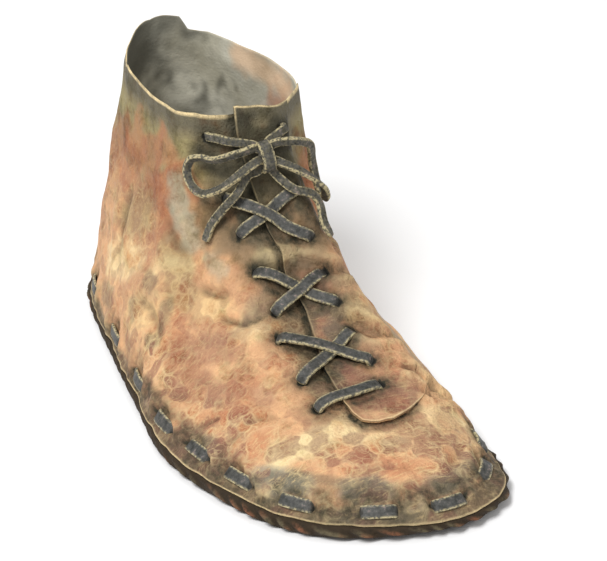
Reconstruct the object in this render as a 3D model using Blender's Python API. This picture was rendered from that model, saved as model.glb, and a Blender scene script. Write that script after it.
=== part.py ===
# Right hide shoe, metres, toes to -Y, big-toe side to +X, standing on Z = 0.
import math

import bmesh
import bpy
import numpy as np

# named sizes
SHOE_LENGTH = 0.2805
SHOE_WIDTH = 0.1215
COLLAR_HEIGHT = 0.1175
WALL = 0.0020
GAP = 0.0003
SOLE_THICK = 0.0064
SOLE_MARGIN = 0.0014
TOE_SPRING = 0.0022
ARCH_RISE = 0.0020
# the sole's rolled margin: (share of the height, inset as a share of SOLE_THICK)
SOLE_PROFILE = ((0.0, 0.72), (0.0, 0.41), (0.22, 0.14), (0.50, 0.0), (0.78, 0.06), (1.0, 0.25))
INSOLE_THICK = 0.0020
FLAP_THICK = 0.0018
FLAP_OPEN = 0.0004
THONG_WIDTH = 0.0055
THONG_THICK = 0.0019
THONG_CLEAR = 0.0008
UPPER_BASE = SOLE_THICK + GAP
COLUMNS_PER_SECTION = 5
LOW_ROWS = 6
HIGH_ROWS = 10

# The last's sections, clockwise from the toe seen from below. Each row is one meridian, from
# the sole's edge to the collar. foot_x, in and out are shares of SHOE_WIDTH, foot_y and
# collar_y of SHOE_LENGTH, collar_z, up and down of COLLAR_HEIGHT.
SECTION_COLUMNS = ("foot_x", "foot_y", "collar_x", "collar_y", "collar_z", "in", "up", "out", "down")
SECTIONS = {
    "toe": (0.110, -0.499, 0.151, 0.110, 1.034, 0.104, 0.250, 0.217, 0.926),
    "toe_med": (0.409, -0.450, 0.234, 0.106, 1.017, 0.093, 0.080, 0.220, 0.660),
    "ball_med": (0.487, -0.266, 0.324, 0.124, 1.009, 0.070, 0.225, 0.010, 0.740),
    "waist_med": (0.456, -0.022, 0.407, 0.167, 0.991, 0.045, 0.165, 0.110, 0.554),
    "arch_med": (0.448, 0.170, 0.448, 0.235, 0.983, 0.004, 0.240, 0.029, 0.366),
    "heel_med": (0.456, 0.349, 0.415, 0.338, 0.991, -0.008, 0.250, 0.015, 0.335),
    "heel_cor_m": (0.325, 0.452, 0.333, 0.427, 1.000, -0.015, 0.250, 0.027, 0.317),
    "heel_back": (0.092, 0.499, 0.143, 0.459, 1.060, -0.013, 0.250, 0.002, 0.325),
    "heel_cor_l": (-0.119, 0.441, -0.005, 0.409, 1.017, 0.011, 0.240, 0.046, 0.305),
    "heel_lat": (-0.235, 0.351, -0.079, 0.338, 1.000, 0.030, 0.240, 0.012, 0.335),
    "arch_lat": (-0.336, 0.187, -0.087, 0.242, 0.991, 0.018, 0.260, 0.001, 0.388),
    "waist_lat": (-0.415, 0.039, -0.087, 0.181, 1.000, 0.057, 0.190, 0.053, 0.517),
    "ball_lat": (-0.486, -0.160, -0.038, 0.138, 1.009, 0.072, 0.095, 0.014, 0.744),
    "toe_lat": (-0.315, -0.396, 0.061, 0.113, 1.026, 0.075, 0.230, 0.124, 0.800),
}
COLUMN_UNITS = {"foot_x": SHOE_WIDTH, "foot_y": SHOE_LENGTH, "collar_x": SHOE_WIDTH,
                "collar_y": SHOE_LENGTH, "collar_z": COLLAR_HEIGHT, "in": SHOE_WIDTH,
                "up": COLLAR_HEIGHT, "out": SHOE_WIDTH, "down": COLLAR_HEIGHT}
STATIONS = len(SECTIONS)

# The lapped flap's free edge: (rise, round). rise is the share of a meridian from the sole to
# the collar, round the place round the last in sections, 0 at the toe, growing medially.
FLAP_EDGE = ((0.0, -0.25), (0.355, -0.22), (0.40, -0.34), (0.50, -0.36), (0.58, -0.27),
             (0.65, -0.19), (0.72, -0.26), (0.78, -0.32), (0.86, -0.50), (0.91, -0.68),
             (0.95, -0.85), (1.0, -0.92))
FLAP_FOOT = 0.355
FLAP_COLUMN = -2
# the flap's lower edge, a round tip that runs out medially: (round, rise)
FLAP_TIP = ((-1.20, 0.355), (-0.50, 0.362), (-0.36, 0.392), (-0.28, 0.370), (-0.20, 0.357),
            (0.08, 0.358), (0.32, 0.371), (0.53, 0.383), (0.85, 0.390), (1.60, 0.355))
TIP_REACH = 0.12
POCKET_COLUMN = 4
SLIT_COLUMNS = (0, 1)
SLIT_FOOT = 0.50
# where the flap has sunk into the medial wall: (rise, round)
FLAP_ROOT = ((0.355, 0.85), (0.50, 1.15), (0.75, 1.50), (1.0, 1.65))

# laces: name, first end (round, rise), second end (round, rise), over or under at the crossing
LACES = {
    "lace_cross_top": (((-1.30, 0.850), (0.63, 0.767), 1), ((-1.03, 0.783), (0.75, 0.850), 0)),
    "lace_cross_middle": (((-0.65, 0.637), (0.53, 0.704), 1), ((-0.82, 0.713), (0.45, 0.642), 0)),
    "lace_cross_low": (((-0.72, 0.571), (0.35, 0.508), 1), ((-0.65, 0.467), (0.37, 0.579), 0)),
    "lace_bar": (((-0.60, 0.396), (0.23, 0.450), 0),),
}

# bow: route points (round, rise, lift) with lift a share of THONG_WIDTH over the lacing
BOW = {
    "bow_tie_lateral": ((-1.73, 0.963, 0.00), (-1.45, 0.962, 0.20), (-1.10, 0.955, 0.35),
                        (-0.72, 0.950, 0.45), (-0.40, 0.948, 0.45)),
    "bow_tie_medial": ((1.08, 0.958, 0.00), (0.86, 0.955, 0.20), (0.62, 0.952, 0.40),
                       (0.27, 0.950, 0.45)),
    "bow_loop_lateral": ((-0.47, 0.942, 0.90), (-0.74, 0.937, 1.05), (-1.03, 0.930, 1.15),
                         (-1.40, 0.924, 1.10), (-1.76, 0.930, 0.95), (-2.08, 0.920, 0.80),
                         (-2.21, 0.890, 0.70), (-1.97, 0.868, 0.80), (-1.63, 0.858, 1.05),
                         (-1.28, 0.865, 1.40), (-1.01, 0.882, 1.60), (-0.72, 0.912, 1.60),
                         (-0.47, 0.925, 1.40)),
    "bow_tail_lateral": ((-0.30, 0.909, 0.60), (-0.68, 0.895, 0.55), (-0.84, 0.876, 0.65),
                         (-0.97, 0.855, 0.90), (-1.24, 0.828, 0.60), (-1.53, 0.795, 0.25),
                         (-1.69, 0.755, 0.20)),
    "bow_loop_medial": ((0.50, 0.940, 0.90), (0.66, 0.938, 1.15), (0.88, 0.930, 1.30),
                        (1.22, 0.915, 1.25), (1.66, 0.897, 1.10), (2.16, 0.882, 0.90),
                        (2.50, 0.850, 0.75), (2.42, 0.808, 0.70), (1.95, 0.792, 0.80),
                        (1.40, 0.803, 1.00), (1.08, 0.830, 1.25), (0.86, 0.868, 1.50),
                        (0.60, 0.905, 1.60), (0.52, 0.920, 1.45)),
    "bow_tail_medial": ((0.27, 0.906, 0.55), (0.46, 0.880, 0.60), (0.68, 0.850, 0.75),
                        (0.92, 0.825, 0.75), (1.02, 0.800, 0.55), (0.98, 0.768, 0.30),
                        (1.00, 0.735, 0.20)),
}
BOW_KNOT = (-0.10, 0.930, 0.98)
KNOT_SIZE = (1.22, 2.10, 1.70)

# Thong stitches through the sole's margin: places round the last of their middles, and the
# height of their line over the floor. Their length is along the foot's edge.
STITCH_LENGTH = 0.0165
STITCH_HEIGHT = 0.0118
STITCH_HALF_HEIGHT = 0.0026
STITCH_CLEAR = 0.0006
STITCH_ROOM = 0.80
STITCH_PLACES = (0.09, 0.86, 1.42, 1.92, 2.40, 2.88, 3.44, 4.05, 4.70, 5.40, 6.10, 6.75, 7.35,
                 8.05, 8.90, 9.95, 10.95, 11.70, 12.19, 12.55, 12.98, 13.53)

HIDE = (0.52, 0.27, 0.13, 1.0)
SOLE_HIDE = (0.30, 0.22, 0.13, 1.0)
SOCK_HIDE = (0.22, 0.19, 0.15, 1.0)
THONG = (0.20, 0.21, 0.22, 1.0)


def clear_scene():
    for item in list(bpy.data.objects):
        bpy.data.objects.remove(item, do_unlink=True)


def material(name, colour, roughness):
    made = bpy.data.materials.new(name)
    made.use_nodes = True
    shader = made.node_tree.nodes["Principled BSDF"]
    shader.inputs["Base Color"].default_value = colour
    shader.inputs["Roughness"].default_value = roughness
    return made


def add_mesh(name, vertices, faces, slot):
    mesh = bpy.data.meshes.new(name)
    mesh.from_pydata([tuple(v) for v in vertices], [], faces)
    work = bmesh.new()
    work.from_mesh(mesh)
    bmesh.ops.remove_doubles(work, verts=work.verts, dist=0.00002)
    bmesh.ops.dissolve_degenerate(work, dist=0.00001, edges=work.edges)
    bmesh.ops.triangulate(work, faces=work.faces)
    bmesh.ops.recalc_face_normals(work, faces=work.faces)
    work.to_mesh(mesh)
    work.free()
    mesh.materials.append(slot)
    made = bpy.data.objects.new(name, mesh)
    bpy.context.collection.objects.link(made)
    return made


def table_at(pairs, place):
    xs = [row[0] for row in pairs]
    ys = [row[1] for row in pairs]
    return np.interp(place, xs, ys)


def section_sizes(turn):
    """Section sizes at places round the last, on a closed smooth curve through the table."""
    units = [COLUMN_UNITS[name] for name in SECTION_COLUMNS]
    table = np.array(list(SECTIONS.values())) * units
    turn = np.asarray(turn, float) % STATIONS
    first = np.floor(turn).astype(int)
    t = (turn - first)[..., None]
    before = table[(first - 1) % STATIONS]
    start = table[first % STATIONS]
    end = table[(first + 1) % STATIONS]
    after = table[(first + 2) % STATIONS]
    straight = 2.0 * start + (end - before) * t
    bend = (2.0 * before - 5.0 * start + 4.0 * end - after) * t ** 2
    ease = (3.0 * start - before - 3.0 * end + after) * t ** 3
    found = 0.5 * (straight + bend + ease)
    return {name: found[..., i] for i, name in enumerate(SECTION_COLUMNS)}


def surface_point(turn, rise):
    """The upper's outer surface: round the last by turn, up the meridian by rise, 0 to 1."""
    size = section_sizes(turn)
    rise = np.asarray(rise, float)[..., None]
    foot = np.stack([size["foot_x"], size["foot_y"], np.full(size["foot_x"].shape, UPPER_BASE)], -1)
    collar = np.stack([size["collar_x"], size["collar_y"], size["collar_z"]], -1)
    inward = collar[..., :2] - foot[..., :2]
    reach = np.linalg.norm(inward, axis=-1, keepdims=True)
    inward = inward / np.maximum(reach, 1e-6)
    low = foot.copy()
    low[..., :2] += inward * size["in"][..., None]
    low[..., 2] += size["up"]
    high = collar.copy()
    high[..., :2] -= inward * size["out"][..., None]
    high[..., 2] -= size["down"]
    rest = 1.0 - rise
    return rest ** 3 * foot + 3 * rest ** 2 * rise * low + 3 * rest * rise ** 2 * high + rise ** 3 * collar


def surface_normal(turn, rise):
    """Outward unit normal, level at the sole's edge so that the wall's foot stays flat."""
    turn = np.asarray(turn, float)
    rise = np.asarray(rise, float)
    step = 0.002
    below = np.maximum(rise - step, 0.0)
    above = np.minimum(rise + step, 1.0)
    along = surface_point(turn + step, rise) - surface_point(turn - step, rise)
    upward = surface_point(turn, above) - surface_point(turn, below)
    normal = np.cross(along, upward)
    normal[..., 2] *= np.clip(rise / 0.04, 0.0, 1.0)
    return normal / np.maximum(np.linalg.norm(normal, axis=-1, keepdims=True), 1e-12)


def tip_shift(turn, rise):
    """How far the rows near the flap's foot move to follow its round tip."""
    near = np.clip(1.0 - abs(rise - FLAP_FOOT) / TIP_REACH, 0.0, 1.0)
    return (table_at(FLAP_TIP, turn) - FLAP_FOOT) * near


def flap_height(turn, rise):
    """How far the flap's face stands over the base wall, 0 outside the flap."""
    turn = (np.asarray(turn, float) + STATIONS / 2) % STATIONS - STATIONS / 2
    edge = table_at(FLAP_EDGE, rise)
    root = table_at(FLAP_ROOT, rise)
    span = np.clip((root - turn) / (root - edge), 0.0, 1.0)
    inside = (turn >= edge - 0.01) & (np.asarray(rise) >= table_at(FLAP_TIP, turn) - 0.004)
    full = FLAP_OPEN + FLAP_THICK
    return np.where(inside, full * np.clip(span * 2.0, 0.0, 1.0), 0.0)


def column_turn(column, rise):
    """Place of a mesh column: the flap's edge bends the columns that lie near it."""
    straight = column / COLUMNS_PER_SECTION
    nominal = FLAP_COLUMN / COLUMNS_PER_SECTION
    shift = table_at(FLAP_EDGE, rise) - nominal
    reach = 1.7
    away = np.clip(1.0 - abs(straight - nominal) / reach, 0.0, 1.0)
    return straight + shift * away * away * (3.0 - 2.0 * away)


def rise_rows():
    """Mesh rows from the sole's edge to the collar, one of them on the flap's lower edge."""
    low = np.linspace(0.0, FLAP_FOOT, LOW_ROWS + 1)
    high = np.linspace(FLAP_FOOT, 1.0, HIGH_ROWS + 1)
    return np.concatenate([low, high[1:]])


def build_upper(slot):
    """Upper with its lapped flap as one solid, from cells in four levels of wall."""
    rises = rise_rows()
    count = STATIONS * COLUMNS_PER_SECTION
    first = -count // 2
    points = {}
    for column in range(first, first + count):
        places = rises + tip_shift(column_turn(column, rises), rises)
        turns = column_turn(column, places)
        face = surface_point(turns, places)
        out = surface_normal(turns, places)
        height = flap_height(turns, places)
        for row in range(len(rises)):
            lifts = (-WALL, 0.0, min(FLAP_OPEN, height[row]), height[row])
            for level in range(4):
                points[(column, row, level)] = face[row] + out[row] * lifts[level]
    top = len(rises) - 1
    foot_row = int(np.argmin(abs(rises - FLAP_FOOT)))
    slit_row = int(np.argmin(abs(rises - SLIT_FOOT)))
    root_column = first + count
    for column in range(FLAP_COLUMN, root_column):
        if all(flap_height(column_turn(column, r), r) < 1e-9 for r in rises[foot_row:]):
            root_column = column
            break

    def solid(column, row, level):
        if row < 0 or row >= top or level < 0 or level > 2:
            return False
        inside_flap = FLAP_COLUMN <= column < root_column and row >= foot_row
        if level == 2:
            return inside_flap
        if level == 1:
            return inside_flap and column >= POCKET_COLUMN
        return not (SLIT_COLUMNS[0] <= column < SLIT_COLUMNS[1] and row >= slit_row)

    index = {}
    vertices = []

    def vertex(column, row, level):
        if column >= first + count:
            column -= count
        key = (column, row, level)
        if key not in index:
            index[key] = len(vertices)
            vertices.append(points[key])
        return index[key]

    def wrap(column):
        return (column - first) % count + first

    faces = []
    for column in range(first, first + count):
        for row in range(top):
            for level in range(3):
                if not solid(column, row, level):
                    continue
                c, r, k = column, row, level
                if not solid(c, r, k + 1):
                    faces.append([vertex(c, r, k + 1), vertex(c + 1, r, k + 1),
                                  vertex(c + 1, r + 1, k + 1), vertex(c, r + 1, k + 1)])
                if not solid(c, r, k - 1):
                    faces.append([vertex(c, r, k), vertex(c, r + 1, k),
                                  vertex(c + 1, r + 1, k), vertex(c + 1, r, k)])
                if not solid(wrap(c - 1), r, k):
                    faces.append([vertex(c, r, k), vertex(c, r, k + 1),
                                  vertex(c, r + 1, k + 1), vertex(c, r + 1, k)])
                if not solid(wrap(c + 1), r, k):
                    faces.append([vertex(c + 1, r, k), vertex(c + 1, r + 1, k),
                                  vertex(c + 1, r + 1, k + 1), vertex(c + 1, r, k + 1)])
                if not solid(c, r - 1, k):
                    faces.append([vertex(c, r, k), vertex(c + 1, r, k),
                                  vertex(c + 1, r, k + 1), vertex(c, r, k + 1)])
                if not solid(c, r + 1, k):
                    faces.append([vertex(c, r + 1, k), vertex(c, r + 1, k + 1),
                                  vertex(c + 1, r + 1, k + 1), vertex(c + 1, r + 1, k)])
    return add_mesh("upper", vertices, faces, slot)


def foot_outline(out, columns=84):
    """Closed outline of the sole's edge, moved outward by out."""
    turns = np.arange(columns) * STATIONS / columns
    zero = np.zeros(columns)
    edge = surface_point(turns, zero)[:, :2]
    return edge + surface_normal(turns, zero)[:, :2] * out


def sole_underside(y):
    """Height of the underside: flat under heel and forefoot, raised at arch and toe."""
    share = y / SHOE_LENGTH
    toe = np.clip((-0.40 - share) / 0.10, 0.0, 1.0)
    arch = np.clip(1.0 - abs(share - 0.10) / 0.14, 0.0, 1.0)
    return TOE_SPRING * toe ** 2 + ARCH_RISE * arch ** 2 * (3.0 - 2.0 * arch)


def build_outsole(slot):
    """Outsole with a rolled margin: rings from the underside round the edge to the top."""
    spine_x = 0.02 * SHOE_WIDTH
    rings = []
    columns = 84
    for share, inset in SOLE_PROFILE:
        flat = foot_outline(SOLE_MARGIN - inset * SOLE_THICK, columns)
        under = sole_underside(flat[:, 1])
        height = under + (SOLE_THICK - under) * share
        rings.append(np.column_stack([flat, height]))
    vertices = np.concatenate(rings)
    faces = []
    for ring in range(len(rings) - 1):
        for i in range(columns):
            j = (i + 1) % columns
            a = ring * columns
            faces.append([a + i, a + j, a + columns + j, a + columns + i])
    faces.append(list(range((len(rings) - 1) * columns, len(rings) * columns)))
    inner = [rings[0]]
    for share in (0.66, 0.33):
        y = np.clip(rings[0][:, 1], -0.34 * SHOE_LENGTH, 0.38 * SHOE_LENGTH)
        middle = spine_x + 0.06 * SHOE_WIDTH * np.sin(y / SHOE_LENGTH * 3.0)
        ring = np.column_stack([middle + (rings[0][:, 0] - middle) * share,
                                y + (rings[0][:, 1] - y) * share, np.zeros(columns)])
        ring[:, 2] = sole_underside(ring[:, 1])
        inner.append(ring)
    base = len(vertices)
    vertices = np.concatenate([vertices] + inner[1:])
    starts = [0, base, base + columns]
    for a, b in zip(starts[:-1], starts[1:]):
        for i in range(columns):
            j = (i + 1) % columns
            faces.append([a + j, a + i, b + i, b + j])
    faces.append(list(range(base + 2 * columns - 1, base + columns - 1, -1)))
    return add_mesh("outsole", vertices, faces, slot)


def build_insole(slot):
    """Insole sheet inside the upper, its edge following the wall's inner face."""
    columns = 84
    turns = np.arange(columns) * STATIONS / columns
    bottom = SOLE_THICK + GAP
    level = bottom + INSOLE_THICK
    rises = np.full(columns, 0.0)
    for i, turn in enumerate(turns):
        steps = np.linspace(0.0, 0.4, 161)
        heights = surface_point(np.full(161, turn), steps)[:, 2]
        rises[i] = np.interp(level, heights, steps)
    high = surface_point(turns, rises)[:, :2]
    out = surface_normal(turns, np.zeros(columns))[:, :2]
    low = surface_point(turns, np.zeros(columns))[:, :2]
    inset = WALL + 4.0 * GAP
    depth = np.minimum(np.sum((high - low) * out, axis=1), 0.0) - inset * 1.15
    edge = low + out * depth[:, None]
    rings = []
    for inset, share in ((0.25, 0.0), (0.0, 0.25), (0.10, 0.75), (0.35, 1.0)):
        height = np.full(columns, bottom + share * INSOLE_THICK)
        rings.append(np.column_stack([edge - out * inset * INSOLE_THICK, height]))
    faces = []
    for ring in range(3):
        for i in range(columns):
            j = (i + 1) % columns
            a = ring * columns
            faces.append([a + i, a + j, a + columns + j, a + columns + i])
    faces.append(list(range(columns))[::-1])
    faces.append(list(range(3 * columns, 4 * columns)))
    return add_mesh("insole", np.concatenate(rings), faces, slot)


def strip_solid(centre, out, along, width, thick):
    """Vertices and faces of a flat strip whose upper edges are slightly broken."""
    side = np.cross(along, out)
    side /= np.linalg.norm(side, axis=1, keepdims=True)
    soft = thick * 0.25
    corners = ((-0.5 * width, 0.0), (0.5 * width, 0.0), (0.5 * width, thick - soft),
               (0.5 * width - soft, thick), (-0.5 * width + soft, thick),
               (-0.5 * width, thick - soft))
    count = len(corners)
    vertices = []
    for i in range(len(centre)):
        for across, lift in corners:
            vertices.append(centre[i] + side[i] * across + out[i] * lift)
    faces = []
    for i in range(len(centre) - 1):
        for j in range(count):
            k = (j + 1) % count
            near = i * count
            faces.append([near + j, near + k, near + count + k, near + count + j])
    faces.append(list(range(count))[::-1])
    last = (len(centre) - 1) * count
    faces.append([last + j for j in range(count)])
    return vertices, faces


def lap_lift(turn, rise):
    """Height that a taut thong keeps over the base wall as it climbs on to the flap."""
    gap = np.asarray(turn) - table_at(FLAP_EDGE, rise)
    climb = np.clip((gap + 0.75) / 0.50, 0.0, 1.0)
    climb = climb * climb * (3.0 - 2.0 * climb)
    return np.where(gap < 0.0, (FLAP_OPEN + FLAP_THICK) * climb, flap_height(turn, rise))


def lace_strip(first, second, over, samples=11):
    """A thong from hole to hole over the lap's step, lifted where it crosses another."""
    share = np.linspace(0.0, 1.0, samples)
    turn = first[0] + (second[0] - first[0]) * share
    rise = first[1] + (second[1] - first[1]) * share
    face = surface_point(turn, rise)
    out = surface_normal(turn, rise)
    lift = lap_lift(turn, rise)
    bump = np.clip(1.0 - abs(share - 0.5) / 0.40, 0.0, 1.0)
    lift = lift + THONG_CLEAR + over * THONG_THICK * 0.80 * bump * bump * (3.0 - 2.0 * bump)
    centre = face + out * lift[:, None]
    along = np.gradient(centre, axis=0)
    along /= np.linalg.norm(along, axis=1, keepdims=True)
    return strip_solid(centre, out, along, THONG_WIDTH, THONG_THICK)


def join_solids(kept, other):
    modifier = kept.modifiers.new("join", "BOOLEAN")
    modifier.operation = "UNION"
    modifier.solver = "EXACT"
    modifier.object = other
    graph = bpy.context.evaluated_depsgraph_get()
    mesh = bpy.data.meshes.new_from_object(kept.evaluated_get(graph))
    kept.modifiers.clear()
    kept.data = mesh
    bpy.data.objects.remove(other, do_unlink=True)


def build_laces(slot):
    for name, strips in LACES.items():
        made = []
        for number, (first, second, over) in enumerate(strips):
            vertices, faces = lace_strip(first, second, over)
            made.append(add_mesh(name if number == 0 else name + "_under", vertices, faces, slot))
        if len(made) == 2:
            join_solids(made[0], made[1])


def smooth_route(points, samples):
    """A smooth open curve through the route's points."""
    points = np.array(points)
    padded = np.vstack([2 * points[0] - points[1], points, 2 * points[-1] - points[-2]])
    spans = len(points) - 1
    found = []
    for share in np.linspace(0.0, spans, samples):
        i = min(int(share), spans - 1)
        t = share - i
        a, b, c, d = padded[i:i + 4]
        found.append(0.5 * (2 * b + (c - a) * t + (2 * a - 5 * b + 4 * c - d) * t ** 2
                            + (3 * b - a - 3 * c + d) * t ** 3))
    return np.array(found)


def bow_point(turn, rise, lift):
    height = lap_lift(turn, rise) + THONG_CLEAR + lift * THONG_WIDTH
    return surface_point(turn, rise) + surface_normal(turn, rise) * height


def build_bow(slot):
    for name, rows in BOW.items():
        flat = smooth_route(rows, 6 * len(rows) - 5)
        centre = np.array([bow_point(*row) for row in flat])
        out = np.array([surface_normal(row[0], row[1]) for row in flat])
        along = np.gradient(centre, axis=0)
        along /= np.linalg.norm(along, axis=1, keepdims=True)
        keep = slice(None, None, 2)
        vertices, faces = strip_solid(centre[keep], out[keep], along[keep],
                                      THONG_WIDTH * 0.8, THONG_THICK)
        add_mesh(name, vertices, faces, slot)
    turn, rise, lift = BOW_KNOT
    middle = bow_point(turn, rise, lift)
    out = surface_normal(turn, rise)
    ahead = surface_point(turn, rise + 0.01) - surface_point(turn, rise - 0.01)
    ahead = ahead / np.linalg.norm(ahead)
    side = np.cross(ahead, out)
    vertices = []
    faces = []
    rings = 8
    around = 14
    for i in range(rings + 1):
        polar = math.pi * i / rings
        for j in range(around):
            turned = 2 * math.pi * j / around
            shape = (math.sin(polar) * math.cos(turned), math.cos(polar),
                     math.sin(polar) * math.sin(turned))
            local = [math.copysign(abs(v) ** 0.7, v) * s * 0.5 * THONG_WIDTH
                     for v, s in zip(shape, KNOT_SIZE)]
            vertices.append(middle + side * local[0] + ahead * local[1] + out * local[2])
    for i in range(rings):
        for j in range(around):
            k = (j + 1) % around
            faces.append([i * around + j, i * around + k,
                          (i + 1) * around + k, (i + 1) * around + j])
    add_mesh("bow_knot", vertices, faces, slot)


def rise_at_height(turn, height):
    steps = np.linspace(0.0, 0.6, 241)
    heights = surface_point(np.full(241, turn), steps)[:, 2]
    return float(np.interp(height, heights, steps))


def build_stitches(slot):
    """Flat thong stitches on the wall just over the sole's margin."""
    first, last = STITCH_PLACES[0] + STATIONS, STITCH_PLACES[-1] - STATIONS
    for number, place in enumerate(STITCH_PLACES, 1):
        before = STITCH_PLACES[number - 2] if number > 1 else last
        after = STITCH_PLACES[number] if number < len(STITCH_PLACES) else first
        span = np.linspace(place - 0.9, place + 0.9, 181)
        rises = np.array([rise_at_height(t, STITCH_HEIGHT) for t in span])
        line = surface_point(span, rises)
        run = np.concatenate([[0.0], np.cumsum(np.linalg.norm(np.diff(line, axis=0), axis=1))])
        run -= np.interp(place, span, run)
        room = min(np.interp(after, span, run), -np.interp(before, span, run))
        marks = np.linspace(-0.5, 0.5, 4) * min(STITCH_LENGTH, STITCH_ROOM * room)
        turns = np.interp(marks, run, span)
        rises = np.interp(turns, span, rises)
        face = surface_point(turns, rises)
        out = surface_normal(turns, rises)
        centre = face + out * STITCH_CLEAR
        along = np.gradient(centre, axis=0)
        along /= np.linalg.norm(along, axis=1, keepdims=True)
        vertices, faces = strip_solid(centre, out, along, 2 * STITCH_HALF_HEIGHT, THONG_THICK * 0.8)
        add_mesh("stitch_%02d" % number, vertices, faces, slot)


def main():
    clear_scene()
    hide = material("hide", HIDE, 0.55)
    sole_hide = material("sole_hide", SOLE_HIDE, 0.75)
    sock_hide = material("sock_hide", SOCK_HIDE, 0.85)
    thong = material("thong", THONG, 0.50)
    build_upper(hide)
    build_outsole(sole_hide)
    build_insole(sock_hide)
    build_laces(thong)
    build_bow(thong)
    build_stitches(thong)


main()
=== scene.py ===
"""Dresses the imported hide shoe: folded hide upper with its lap, thong lacing, bow and sole."""
from __future__ import annotations

import logging
import math
from dataclasses import dataclass
from enum import Enum

import bmesh
import bpy
import numpy as np
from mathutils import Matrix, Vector, noise

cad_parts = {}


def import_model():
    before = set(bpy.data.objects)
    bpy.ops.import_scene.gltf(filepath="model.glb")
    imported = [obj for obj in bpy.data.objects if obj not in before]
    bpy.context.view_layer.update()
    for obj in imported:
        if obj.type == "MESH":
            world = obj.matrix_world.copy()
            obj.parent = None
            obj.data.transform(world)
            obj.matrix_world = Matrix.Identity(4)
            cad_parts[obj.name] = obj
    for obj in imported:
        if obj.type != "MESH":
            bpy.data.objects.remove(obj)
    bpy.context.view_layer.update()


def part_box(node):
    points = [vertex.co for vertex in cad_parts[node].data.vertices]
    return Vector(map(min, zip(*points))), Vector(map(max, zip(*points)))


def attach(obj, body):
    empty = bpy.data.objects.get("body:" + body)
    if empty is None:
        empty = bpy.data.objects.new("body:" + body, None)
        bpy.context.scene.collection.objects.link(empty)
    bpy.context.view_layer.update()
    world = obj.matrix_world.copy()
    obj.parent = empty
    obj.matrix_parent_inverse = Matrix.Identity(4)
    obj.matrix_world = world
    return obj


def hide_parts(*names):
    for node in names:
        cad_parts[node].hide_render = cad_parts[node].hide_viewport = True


LOG = logging.getLogger("hide_shoe")
MM = 0.001


class Tint(Enum):
    """Colours of the hide, its stains and its painted shade, as sRGB hex."""

    CREAM = "#F6DDA8"
    STRAW = "#F0D197"
    PEACH = "#F3C090"
    VAMP = "#DDAA7E"
    ORANGE = "#DB9C73"
    TAN = "#B98D66"
    RUST = "#BE7853"
    RED_BROWN = "#A26A4C"
    PURPLE_BROWN = "#8A5C4E"
    KHAKI = "#7D7358"
    MOSS = "#998C62"
    SMOKE = "#66685A"
    OLIVE = "#6B6450"
    GREY_GREEN = "#9C9A88"
    BLUE_GREY = "#AAAB95"
    DARK_OLIVE = "#3A3729"
    INK = "#16150F"
    SLATE = "#5A5955"
    SLATE_DARK = "#272824"
    SCUFF = "#A48B82"
    ROUGH_TAN = "#BDB088"
    FLESH = "#CCC8B6"
    FLESH_DARK = "#56554B"
    SOLE_BROWN = "#4A3A28"
    FLOOR = "#FFFFFF"


class Layer(Enum):
    """Sheets of the upper that a patch of colour may lie on."""

    WALL = "wall"
    LAP = "lap"
    BOTH = "both"


def linear(tint: Tint) -> tuple[float, float, float, float]:
    """Turns a tint's sRGB hex to a linear colour.

    Args:
        tint: The named colour.

    Returns:
        Linear red, green and blue, with alpha 1.
    """
    parts = [int(tint.value[i:i + 2], 16) / 255.0 for i in (1, 3, 5)]
    made = [p / 12.92 if p <= 0.04045 else ((p + 0.055) / 1.055) ** 2.4 for p in parts]
    return (made[0], made[1], made[2], 1.0)


def ease(value: np.ndarray | float) -> np.ndarray:
    """Smooth step of values that are first held between 0 and 1."""
    held = np.clip(value, 0.0, 1.0)
    return held * held * (3.0 - 2.0 * held)


def bell(value: np.ndarray | float) -> np.ndarray:
    """Bell curve, 1 at 0 and near 0 past 2."""
    return np.exp(-np.square(value))


def curve(rows: tuple, value: np.ndarray) -> np.ndarray:
    """Straight-sided curve through rows of (from, to), held past its ends."""
    return np.interp(value, *zip(*rows))


def lumps(points: np.ndarray, size_mm: float, seed: float) -> np.ndarray:
    """Smooth noise at points.

    Args:
        points: Places in metres, the last axis x, y, z.
        size_mm: Size of one lump.
        seed: Shift that gives another pattern.

    Returns:
        Values of about -1 to 1, one for each point.
    """
    flat = points.reshape(-1, 3) / (size_mm * MM) + seed
    found = [noise.noise(Vector(row)) for row in flat]
    return np.array(found).reshape(points.shape[:-1])


def bunched(count: int, pull: float) -> np.ndarray:
    """Shares from 0 to 1 that lie closer together at both ends.

    Args:
        count: How many shares.
        pull: From 0, even, to 1, tightest.

    Returns:
        The shares, rising.
    """
    even = np.linspace(0.0, 1.0, count)
    return even - pull * np.sin(2.0 * math.pi * even) / (2.0 * math.pi)


def unit(vectors: np.ndarray) -> np.ndarray:
    """Vectors made one long, along the last axis."""
    return vectors / np.maximum(np.linalg.norm(vectors, axis=-1, keepdims=True), 1e-12)


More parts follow.
